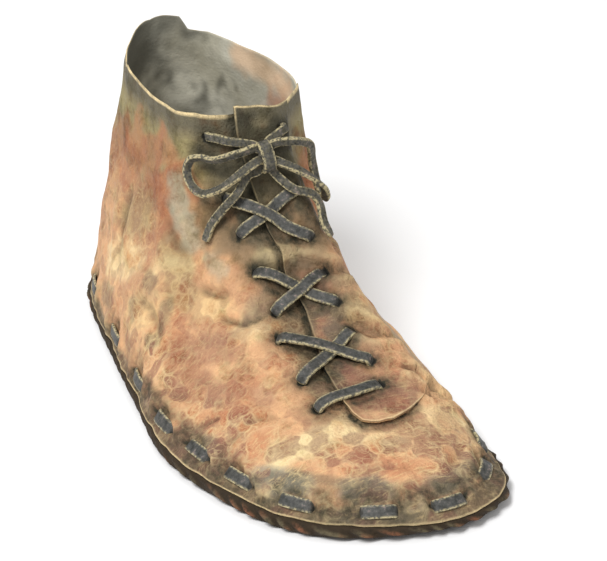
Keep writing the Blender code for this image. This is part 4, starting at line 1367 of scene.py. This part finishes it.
@dataclass(frozen=True)
class Sole:
    """The outsole with its rolled and pleated margin, and the sock inside, sizes in metres."""

    hide: Hide
    thick: float = 6.4 * MM
    margin: float = 2.3 * MM
    toe_spring: float = 2.2 * MM
    arch_rise: float = 2.0 * MM
    columns: int = 900
    pleat_pitch: float = 10.0

    PROFILE = ((0.0, -9.0), (0.0, -6.0), (0.0, -4.6), (0.0, -3.2), (0.03, -2.3), (0.12, -1.5),
               (0.24, -0.8), (0.38, -0.2), (0.50, 0.0), (0.62, 0.05), (0.74, -0.1), (0.85, -0.4),
               (0.94, -0.9), (1.0, -1.6), (1.0, -3.4), (1.0, -6.0))

    def underside(self, y: np.ndarray) -> np.ndarray:
        """Height of the underside: flat at heel and forefoot, raised at arch and toe."""
        share = y / self.hide.last.length
        toe = np.clip((-0.40 - share) / 0.10, 0.0, 1.0)
        arch = np.clip(1.0 - abs(share - 0.10) / 0.14, 0.0, 1.0)
        return self.toe_spring * toe ** 2 + self.arch_rise * arch ** 2 * (3.0 - 2.0 * arch)

    def build_band(self, material: bpy.types.Material) -> bpy.types.Object:
        """The outsole, its margin gathered in slanting pleats.

        Args:
            material: The sole hide's finish.

        Returns:
            The piece.
        """
        last = self.hide.last
        turn = np.linspace(0.0, last.around, self.columns + 1)
        edge = last.point(turn, turn * 0.0)[:, :2]
        out = last.normal(turn, turn * 0.0)[:, :2]
        run = np.concatenate([[0.0], np.cumsum(np.linalg.norm(np.diff(edge, axis=0), axis=1))]) / MM
        count = round(run[-1] / self.pleat_pitch)
        drift = 0.7 * np.sin(run / run[-1] * 2.0 * math.pi * 9.0)
        drift += 0.25 * np.sin(run / run[-1] * 2.0 * math.pi * 23.0 + 1.0)
        drift += 0.10 * np.sin(run / run[-1] * 2.0 * math.pi * 41.0 + 2.0)
        smooth_side = ease((2.0 - abs(turn - 10.6)) / 1.0)
        rows, ridges = [], []
        for share, inset in self.PROFILE:
            flat = edge + out * (self.margin + inset * MM)
            under = self.underside(flat[:, 1])
            height = under + (self.thick - under) * share
            phase = (run / run[-1] * count + drift / 2.0 + 0.9 * share) * 2.0 * math.pi
            ridge = 0.5 + 0.5 * np.cos(phase)
            ridge = ridge ** 1.1 * (1.0 - 0.65 * smooth_side)
            weight = bell((share - 0.52) / 0.42) * (1.0 if 0.0 < share < 1.0 else 0.0)
            push = (ridge - 0.45) * 1.7 * weight * MM * (1.0 + 0.4 * np.sin(turn * 9.0))
            flat = flat + out * push[:, None]
            rows.append(np.column_stack([flat, height + 0.3 * MM * weight * (ridge - 0.5) * share]))
            ridges.append(ridge * weight)
        grid = np.stack(rows)
        grid[:, -1] = grid[:, 0]
        paint = {"ridge": np.stack(ridges), "low": np.tile(
            np.array([row[0] for row in self.PROFILE])[:, None], (1, self.columns + 1))}
        work = closed_up(placed_grid(grid, paint), fill=True)
        return finish_piece(work, "outsole_band", [material], ("outsole",))

    def build_sock(self, material: bpy.types.Material) -> bpy.types.Object:
        """The sock sheet inside, dented by wear.

        Args:
            material: The sock's finish.

        Returns:
            The piece.
        """
        last = self.hide.last
        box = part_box("insole")
        turn = np.linspace(0.0, last.around, 281)
        steps = np.linspace(0.0, 0.4, 81)
        heights = last.point(turn[:, None] + steps * 0.0, np.tile(steps, (len(turn), 1)))
        rise = np.array([np.interp(box[1][2], row[:, 2], steps) for row in heights])
        high = last.point(turn, rise)[:, :2]
        low = last.point(turn, turn * 0.0)[:, :2]
        out = last.normal(turn, turn * 0.0)[:, :2]
        depth = np.minimum(np.sum((high - low) * out, axis=1), 0.0) - 3.7 * MM
        edge = low + out * depth[:, None]
        spine = np.column_stack([0.02 * last.width + 0.05 * last.width * np.sin(
            edge[:, 1] / last.length * 3.0), np.clip(edge[:, 1], -0.34 * last.length,
                                                     0.38 * last.length)])
        rows = []
        for share, level in ((0.90, 0.0), (0.985, 0.0), (1.0, 0.25), (1.0, 0.7), (0.985, 1.0),
                             (0.95, 1.0), (0.88, 1.0), (0.78, 1.0), (0.66, 1.0), (0.52, 1.0),
                             (0.38, 1.0), (0.24, 1.0), (0.12, 1.0)):
            flat = spine + (edge - spine) * share
            height = box[0][2] + (box[1][2] - box[0][2]) * level
            dent = 0.25 * MM * (level == 1.0) * ease((0.95 - share) / 0.3)
            rows.append(np.column_stack([flat, np.full(len(flat), height - dent)]))
        grid = np.stack(rows)
        grid[:, -1] = grid[:, 0]
        work = closed_up(placed_grid(grid, {}), fill=True)
        return finish_piece(work, "sock_sheet", [material], ("insole",))


def add_node(tree: bpy.types.NodeTree, kind: str, settings: dict, links: dict) -> bpy.types.Node:
    """Adds one node with its settings and links.

    Args:
        tree: The material's node tree.
        kind: The node's type.
        settings: Properties by name, or sockets by name or number, with their values.
        links: Sockets by name or number, each with (node, output name or number).

    Returns:
        The node.
    """
    node = tree.nodes.new(kind)
    for name, value in settings.items():
        if isinstance(name, str) and hasattr(node, name):
            setattr(node, name, value)
        else:
            node.inputs[name].default_value = value
    for name, (source, output) in links.items():
        tree.links.new(source.outputs[output], node.inputs[name])
    return node


def painted(tree: bpy.types.NodeTree, name: str) -> bpy.types.Node:
    """Reads the named value that was kept at each point of the mesh."""
    return add_node(tree, "ShaderNodeAttribute", {"attribute_name": name}, {})


def cloudy(tree: bpy.types.NodeTree, place: bpy.types.Node, size: float, detail: float,
           roughness: float = 0.5, distortion: float = 0.0) -> bpy.types.Node:
    """Noise with lumps of one size.

    Args:
        tree: The material's node tree.
        place: Its coordinates in mm.
        size: Size of a lump in mm.
        detail: Number of finer octaves.
        roughness: Weight of the finer octaves.
        distortion: How far the lumps are drawn out.

    Returns:
        The node.
    """
    return add_node(tree, "ShaderNodeTexNoise", {"Scale": 1.0 / size, "Detail": detail,
                                                 "Roughness": roughness,
                                                 "Distortion": distortion}, {"Vector": (place, 0)})


def ranged(tree: bpy.types.NodeTree, value: tuple, low: float, high: float, least: float = 0.0,
           most: float = 1.0) -> bpy.types.Node:
    """Maps a value from low and high to least and most, held at both ends.

    Args:
        tree: The material's node tree.
        value: (node, output) of the value.
        low: Value that gives least.
        high: Value that gives most.
        least: Result at low.
        most: Result at high.

    Returns:
        The node.
    """
    return add_node(tree, "ShaderNodeMapRange", {"From Min": low, "From Max": high,
                                                 "To Min": least, "To Max": most},
                    {"Value": value})


def product(tree: bpy.types.NodeTree, first: tuple, second: tuple) -> bpy.types.Node:
    """Multiplies two values, each (node, output)."""
    return add_node(tree, "ShaderNodeMath", {"operation": "MULTIPLY"}, {0: first, 1: second})


def blend(tree: bpy.types.NodeTree, share: tuple, first: tuple, second: tuple,
          kind: str = "MIX") -> bpy.types.Node:
    """Mixes two colours.

    Args:
        tree: The material's node tree.
        share: (node, output) of the second colour's share.
        first: A linear colour, or the (node, output) of one.
        second: The same.
        kind: How they mix.

    Returns:
        The node, its colour at output 2.
    """
    settings, links = {"data_type": "RGBA", "blend_type": kind}, {0: share}
    for socket, colour in ((6, first), (7, second)):
        (settings if len(colour) == 4 else links)[socket] = colour
    return add_node(tree, "ShaderNodeMix", settings, links)


@dataclass(frozen=True)
class Finish:
    """A finish and its shader's own values."""

    name: str
    roughness: float
    ior: float = 1.45
    specular: float = 0.5
    coat: float = 0.0
    sheen: float = 0.0

    def begin(self) -> tuple:
        """Starts the material.

        Returns:
            The material, its node tree, its shader and its coordinates in mm.
        """
        made = bpy.data.materials.new(self.name)
        made.use_nodes = True
        tree = made.node_tree
        shader = tree.nodes["Principled BSDF"]
        for socket, value in (("Roughness", self.roughness), ("IOR", self.ior),
                              ("Specular IOR Level", self.specular), ("Coat Weight", self.coat),
                              ("Sheen Weight", self.sheen)):
            shader.inputs[socket].default_value = value
        where = add_node(tree, "ShaderNodeTexCoord", {}, {})
        place = add_node(tree, "ShaderNodeMapping", {"Scale": (1000.0, 1000.0, 1000.0)},
                         {"Vector": (where, "Object")})
        return made, tree, shader, place

    def grain(self, tree: bpy.types.NodeTree, shader: bpy.types.Node, heights: tuple) -> None:
        """Stacks bumps on the shader.

        Args:
            tree: The material's node tree.
            shader: Its shader.
            heights: (node, output, depth in mm, invert) for each bump, coarse first.
        """
        below = None
        for source, output, depth, invert in heights:
            links = {"Height": (source, output)}
            if below is not None:
                links["Normal"] = (below, 0)
            below = add_node(tree, "ShaderNodeBump",
                             {"Strength": 1.0, "Distance": depth * MM, "invert": invert}, links)
        tree.links.new(below.outputs[0], shader.inputs["Normal"])


@dataclass(frozen=True)
class GrainHide(Finish):
    """Oil-tanned hide, grain side out: mottled by smoke and wear, with painted shade and painted
    highlight, dull with a faint gloss.
    """

    mottle_mm: float = 11.0
    blotch_mm: float = 4.0
    vein_mm: float = 8.5
    crackle_mm: float = 3.2
    grain_mm: float = 1.0

    def build(self) -> bpy.types.Material:
        """Makes the material: painted tint under mottle, veins, wear with painted highlight, and
        grime with painted shade.
        """
        made, tree, shader, place = self.begin()
        tint = painted(tree, "tint")
        grime_and_shade = painted(tree, "grime_and_shade")
        wear_and_highlight = painted(tree, "wear_and_highlight")
        veins = painted(tree, "veins")
        mottle = cloudy(tree, place, self.mottle_mm, 7.0, 0.68)
        blotch = cloudy(tree, place, self.blotch_mm, 6.0, 0.65, 0.2)
        fine = cloudy(tree, place, self.grain_mm, 3.0)
        drift = cloudy(tree, place, 9.0, 1.5)
        warp = add_node(tree, "ShaderNodeVectorMath", {"operation": "MULTIPLY_ADD",
                                                       1: (16.0, 16.0, 16.0)},
                        {0: (drift, 1), 2: (place, 0)})
        cell = add_node(tree, "ShaderNodeTexVoronoi", {"feature": "SMOOTH_F1", "Smoothness": 0.8,
                                                       "Scale": 1.0 / self.vein_mm},
                        {"Vector": (warp, 0)})
        line = add_node(tree, "ShaderNodeTexVoronoi", {"feature": "DISTANCE_TO_EDGE",
                                                       "Scale": 1.0 / self.vein_mm},
                        {"Vector": (warp, 0)})
        crackle = add_node(tree, "ShaderNodeTexVoronoi", {"feature": "DISTANCE_TO_EDGE",
                                                          "Scale": 1.0 / self.crackle_mm},
                           {"Vector": (warp, 0)})
        dark_share = ranged(tree, (mottle, 0), 0.47, 0.66, most=0.9)
        hue = cloudy(tree, place, 18.0, 4.0)
        hue_share = ranged(tree, (hue, 0), 0.44, 0.56)
        stain = blend(tree, (hue_share, 0), (0.62, 0.38, 0.27, 1.0), (0.46, 0.44, 0.32, 1.0))
        dark = blend(tree, (dark_share, 0), (tint, "Color"), (stain, 2), "MULTIPLY")
        pale_share = ranged(tree, (blotch, 0), 0.52, 0.74, most=0.55)
        pale = blend(tree, (pale_share, 0), (dark, 2), (1.38, 1.42, 1.36, 1.0), "MULTIPLY")
        cell_share = ranged(tree, (cell, 1), 0.42, 0.6, most=0.6)
        cell_here = product(tree, (cell_share, 0), (veins, "Fac"))
        celled = blend(tree, (cell_here, 0), (pale, 2), linear(Tint.PURPLE_BROWN))
        line_share = ranged(tree, (line, 0), 0.15, 0.0, most=0.55)
        crack_share = ranged(tree, (crackle, 0), 0.12, 0.0, most=0.35)
        lines = add_node(tree, "ShaderNodeMath", {"operation": "MAXIMUM"},
                         {0: (line_share, 0), 1: (crack_share, 0)})
        broken = ranged(tree, (mottle, 0), 0.4, 0.6)
        veined = product(tree, (lines, 0), (broken, 0))
        veined = product(tree, (veined, 0), (veins, "Fac"))
        veiny = blend(tree, (veined, 0), (celled, 2), linear(Tint.CREAM))
        slant = add_node(tree, "ShaderNodeMapping", {"Rotation": (0.3, 0.5, 0.7),
                                                     "Scale": (0.14, 0.95, 0.50)},
                         {"Vector": (place, 0)})
        scratch = add_node(tree, "ShaderNodeTexNoise", {"Scale": 1.0, "Detail": 6.0,
                                                        "Roughness": 0.7}, {"Vector": (slant, 0)})
        scratch = ranged(tree, (scratch, 0), 0.52, 0.72, most=0.75)
        scratch = product(tree, (scratch, 0), (veins, "Fac"))
        veiny = blend(tree, (scratch, 0), (veiny, 2), linear(Tint.STRAW))
        # Wear and painted highlight: worn edges and raised ridges turn cream, broken up by noise.
        rubbed = ranged(tree, (blotch, 0), 0.3, 0.62, least=0.35)
        wear_highlight_share = product(tree, (rubbed, 0), (wear_and_highlight, "Fac"))
        worn_and_highlit = blend(tree, (wear_highlight_share, 0), (veiny, 2), linear(Tint.CREAM))
        # Dirt and painted shade: the painted grime mask, broken up by noise, darkens the colour to
        # dark olive.
        grime_shade_noise = ranged(tree, (blotch, 0), 0.3, 0.65, least=0.45, most=1.05)
        grime_shade_share = add_node(tree, "ShaderNodeMath", {"operation": "MULTIPLY", "use_clamp": True},
                              {0: (grime_shade_noise, 0), 1: (grime_and_shade, "Fac")})
        grime_shaded = blend(tree, (grime_shade_share, 0), (worn_and_highlit, 2), linear(Tint.DARK_OLIVE))
        # Painted shade: where that mask runs past 1.15 the colour turns ink black, in the lace and
        # stitch holes.
        deep = ranged(tree, (grime_and_shade, "Fac"), 1.15, 1.5)
        holed = blend(tree, (deep, 0), (grime_shaded, 2), linear(Tint.INK))
        tree.links.new(holed.outputs[2], shader.inputs["Base Color"])
        gloss = ranged(tree, (blotch, 0), 0.35, 0.65, least=self.roughness - 0.08,
                       most=self.roughness + 0.15)
        tree.links.new(gloss.outputs[0], shader.inputs["Roughness"])
        self.grain(tree, shader, ((mottle, 0, 2.6, False), (blotch, 0, 0.8, False),
                                  (crackle, 0, 0.28, False), (fine, 0, 0.20, False)))
        return made


@dataclass(frozen=True)
class FleshSide(Finish):
    """The same hide's flesh side: napped, grey with foot dirt, with no gloss."""

    def build(self) -> bpy.types.Material:
        """Makes the material: grey nap with warm stains."""
        made, tree, shader, place = self.begin()
        broad = cloudy(tree, place, 26.0, 5.0)
        nap = cloudy(tree, place, 1.4, 4.0)
        tint = painted(tree, "tint")
        wear_and_highlight = painted(tree, "wear_and_highlight")
        dark = ranged(tree, (broad, 0), 0.55, 0.35, most=0.6)
        stained = blend(tree, (dark, 0), (tint, "Color"), (0.55, 0.53, 0.46, 1.0), "MULTIPLY")
        rim = blend(tree, (wear_and_highlight, "Fac"), (stained, 2), linear(Tint.CREAM))
        tree.links.new(rim.outputs[2], shader.inputs["Base Color"])
        self.grain(tree, shader, ((broad, 0, 1.0, False), (nap, 0, 0.25, False)))
        return made


@dataclass(frozen=True)
class ThongHide(Finish):
    """Waxed rawhide thong: slate grey face, its cut edges rough and tan where wax has gone."""

    rubbed: float = 0.0

    def build(self) -> bpy.types.Material:
        """Makes the material: slate face, worn edges, scuffs across it."""
        made, tree, shader, place = self.begin()
        edge = painted(tree, "edge")
        scuff = cloudy(tree, place, 2.6, 6.0, 0.7)
        fibre = cloudy(tree, place, 1.1, 5.0)
        tone = ranged(tree, (scuff, 0), 0.35, 0.65)
        face = blend(tree, (tone, 0), linear(Tint.SLATE_DARK), linear(Tint.SLATE))
        scratch = ranged(tree, (scuff, 0), 0.58, 0.72, most=0.7)
        scuffed = blend(tree, (scratch, 0), (face, 2), linear(Tint.SCUFF))
        rough_edge = ranged(tree, (edge, "Fac"), 0.1, 0.5, least=self.rubbed)
        speckle = ranged(tree, (fibre, 0), 0.42, 0.56, least=0.12)
        share = product(tree, (rough_edge, 0), (speckle, 0))
        edged = blend(tree, (share, 0), (scuffed, 2), linear(Tint.ROUGH_TAN))
        tree.links.new(edged.outputs[2], shader.inputs["Base Color"])
        self.grain(tree, shader, ((scuff, 0, 0.5, False), (fibre, 0, 0.15, False)))
        return made


@dataclass(frozen=True)
class SoleHide(Finish):
    """Thick rolled hide, nearly black between its pleats and lighter on their crests."""

    def build(self) -> bpy.types.Material:
        """Makes the material: dark pleats with lighter crests."""
        made, tree, shader, place = self.begin()
        ridge = painted(tree, "ridge")
        low = painted(tree, "low")
        rub = cloudy(tree, place, 3.5, 6.0, 0.7)
        hue = cloudy(tree, place, 16.0, 4.0)
        fibre = cloudy(tree, place, 0.9, 4.0)
        warm = ranged(tree, (hue, 0), 0.45, 0.58)
        crest = blend(tree, (warm, 0), linear(Tint.KHAKI), linear(Tint.RED_BROWN))
        dark = blend(tree, (rub, 0), linear(Tint.INK), linear(Tint.SOLE_BROWN))
        share = ranged(tree, (ridge, "Fac"), 0.25, 0.95, most=0.8)
        high = ranged(tree, (low, "Fac"), 0.05, 0.4)
        share = product(tree, (share, 0), (high, 0))
        patchy = ranged(tree, (rub, 0), 0.36, 0.58)
        share = product(tree, (share, 0), (patchy, 0))
        mixed = blend(tree, (share, 0), (dark, 2), (crest, 2))
        tree.links.new(mixed.outputs[2], shader.inputs["Base Color"])
        self.grain(tree, shader, ((rub, 0, 1.2, False), (fibre, 0, 0.2, False)))
        return made


@dataclass(frozen=True)
class SockHide(Finish):
    """Split hide sock sheet, dark and matt with foot wear."""

    def build(self) -> bpy.types.Material:
        """Makes the material: dark felted hide."""
        made, tree, shader, place = self.begin()
        broad = cloudy(tree, place, 30.0, 5.0)
        nap = cloudy(tree, place, 1.2, 4.0)
        mixed = blend(tree, (broad, 0), linear(Tint.DARK_OLIVE), linear(Tint.KHAKI))
        tree.links.new(mixed.outputs[2], shader.inputs["Base Color"])
        self.grain(tree, shader, ((broad, 0, 0.8, False), (nap, 0, 0.3, False)))
        return made


@dataclass(frozen=True)
class StudioFloor(Finish):
    """Matt painted board, pale and even."""

    def build(self) -> bpy.types.Material:
        """Makes the material: an even pale paint with faint roller texture."""
        made, tree, shader, place = self.begin()
        roller = add_node(tree, "ShaderNodeTexNoise", {"Scale": 1.0 / 8.0}, {"Vector": (place, 0)})
        shader.inputs["Base Color"].default_value = linear(Tint.FLOOR)
        self.grain(tree, shader, ((roller, 0, 0.05, False),))
        return made


@dataclass(frozen=True)
class Studio:
    """Floor, soft light and the camera at the photograph's angle."""

    camera_place: tuple = (-0.5309, -0.9939, 0.6516)
    aim: tuple = (0.0175, -0.0150, 0.0570)
    focal_pixels: float = 2960.0
    picture_width: int = 607
    sensor_mm: float = 36.0
    surround: float = 0.41
    floor_half: float = 4.0

    # Each panel's name, place, power in watts and size, in metres.
    PANELS = (("key", (-1.0, -0.5, 1.6), 30.0, 0.8), ("fill", (1.3, -1.2, 1.0), 6.0, 1.2),
              ("back", (0.2, 1.4, 1.3), 7.0, 1.0))

    def add_camera(self) -> None:
        """Makes the camera and aims it at the shoe."""
        data = bpy.data.cameras.new("camera")
        data.sensor_width = self.sensor_mm
        data.lens = self.focal_pixels * self.sensor_mm / self.picture_width
        data.clip_end = 20.0
        camera = bpy.data.objects.new("camera", data)
        camera.location = self.camera_place
        look = Vector(self.aim) - Vector(self.camera_place)
        camera.rotation_euler = look.to_track_quat("-Z", "Y").to_euler()
        bpy.context.collection.objects.link(camera)
        bpy.context.scene.camera = camera

    def add_light(self) -> None:
        """Makes a bright even surround and three soft panels."""
        world = bpy.data.worlds.new("surround")
        world.use_nodes = True
        world.node_tree.nodes["Background"].inputs["Color"].default_value = (1.0, 1.0, 1.0, 1.0)
        world.node_tree.nodes["Background"].inputs["Strength"].default_value = self.surround
        bpy.context.scene.world = world
        for name, place, power, size in self.PANELS:
            data = bpy.data.lights.new(name, "AREA")
            data.energy = power
            data.size = size
            lamp = bpy.data.objects.new(name, data)
            lamp.location = place
            aim = Vector((0.0, 0.0, 0.05)) - Vector(place)
            lamp.rotation_euler = aim.to_track_quat("-Z", "Y").to_euler()
            bpy.context.collection.objects.link(lamp)

    def add_floor(self) -> None:
        """Makes the floor under the shoe."""
        work = bmesh.new()
        bmesh.ops.create_grid(work, x_segments=8, y_segments=8, size=self.floor_half)
        bmesh.ops.translate(work, verts=work.verts, vec=(0.0, 0.0, -0.0002))
        mesh = bpy.data.meshes.new("floor")
        work.to_mesh(mesh)
        work.free()
        mesh.materials.append(StudioFloor("matt_painted_board", 0.9).build())
        floor = bpy.data.objects.new("floor", mesh)
        bpy.context.collection.objects.link(floor)


def main() -> None:
    """Builds the shoe's pieces in order, the camera and the cords first."""
    logging.basicConfig(level=logging.INFO, format="%(message)s")
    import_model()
    studio = Studio()
    studio.add_camera()
    last = Last()
    hide = Hide(last, Seam(last))
    thong = Thong()
    thong_hide = ThongHide("waxed_rawhide_thong", 0.48, specular=0.5).build()
    rough_thong = ThongHide("rough_rawhide_thong", 0.72, specular=0.3, rubbed=0.12).build()
    Bow(hide, Thong(width=3.9, thickness=2.3)).build(rough_thong)
    LOG.info("bow done")
    grain_hide = GrainHide("oil_tanned_hide_grain_side", 0.60, specular=0.35).build()
    flesh_side = FleshSide("hide_flesh_side", 0.92, specular=0.2).build()
    upper = Upper(hide)
    upper.build_wall([grain_hide, flesh_side])
    upper.build_lap([grain_hide, flesh_side])
    Lacing(hide, thong).build(thong_hide)
    MarginStitches(hide, thong).build(thong_hide)
    sole = Sole(hide)
    sole.build_band(SoleHide("rolled_sole_hide", 0.75, specular=0.3).build())
    sole.build_sock(SockHide("split_hide_sock", 0.95, specular=0.2).build())
    studio.add_light()
    studio.add_floor()
    bpy.context.scene.view_settings.view_transform = "Standard"


if __name__ == "__main__":
    main()
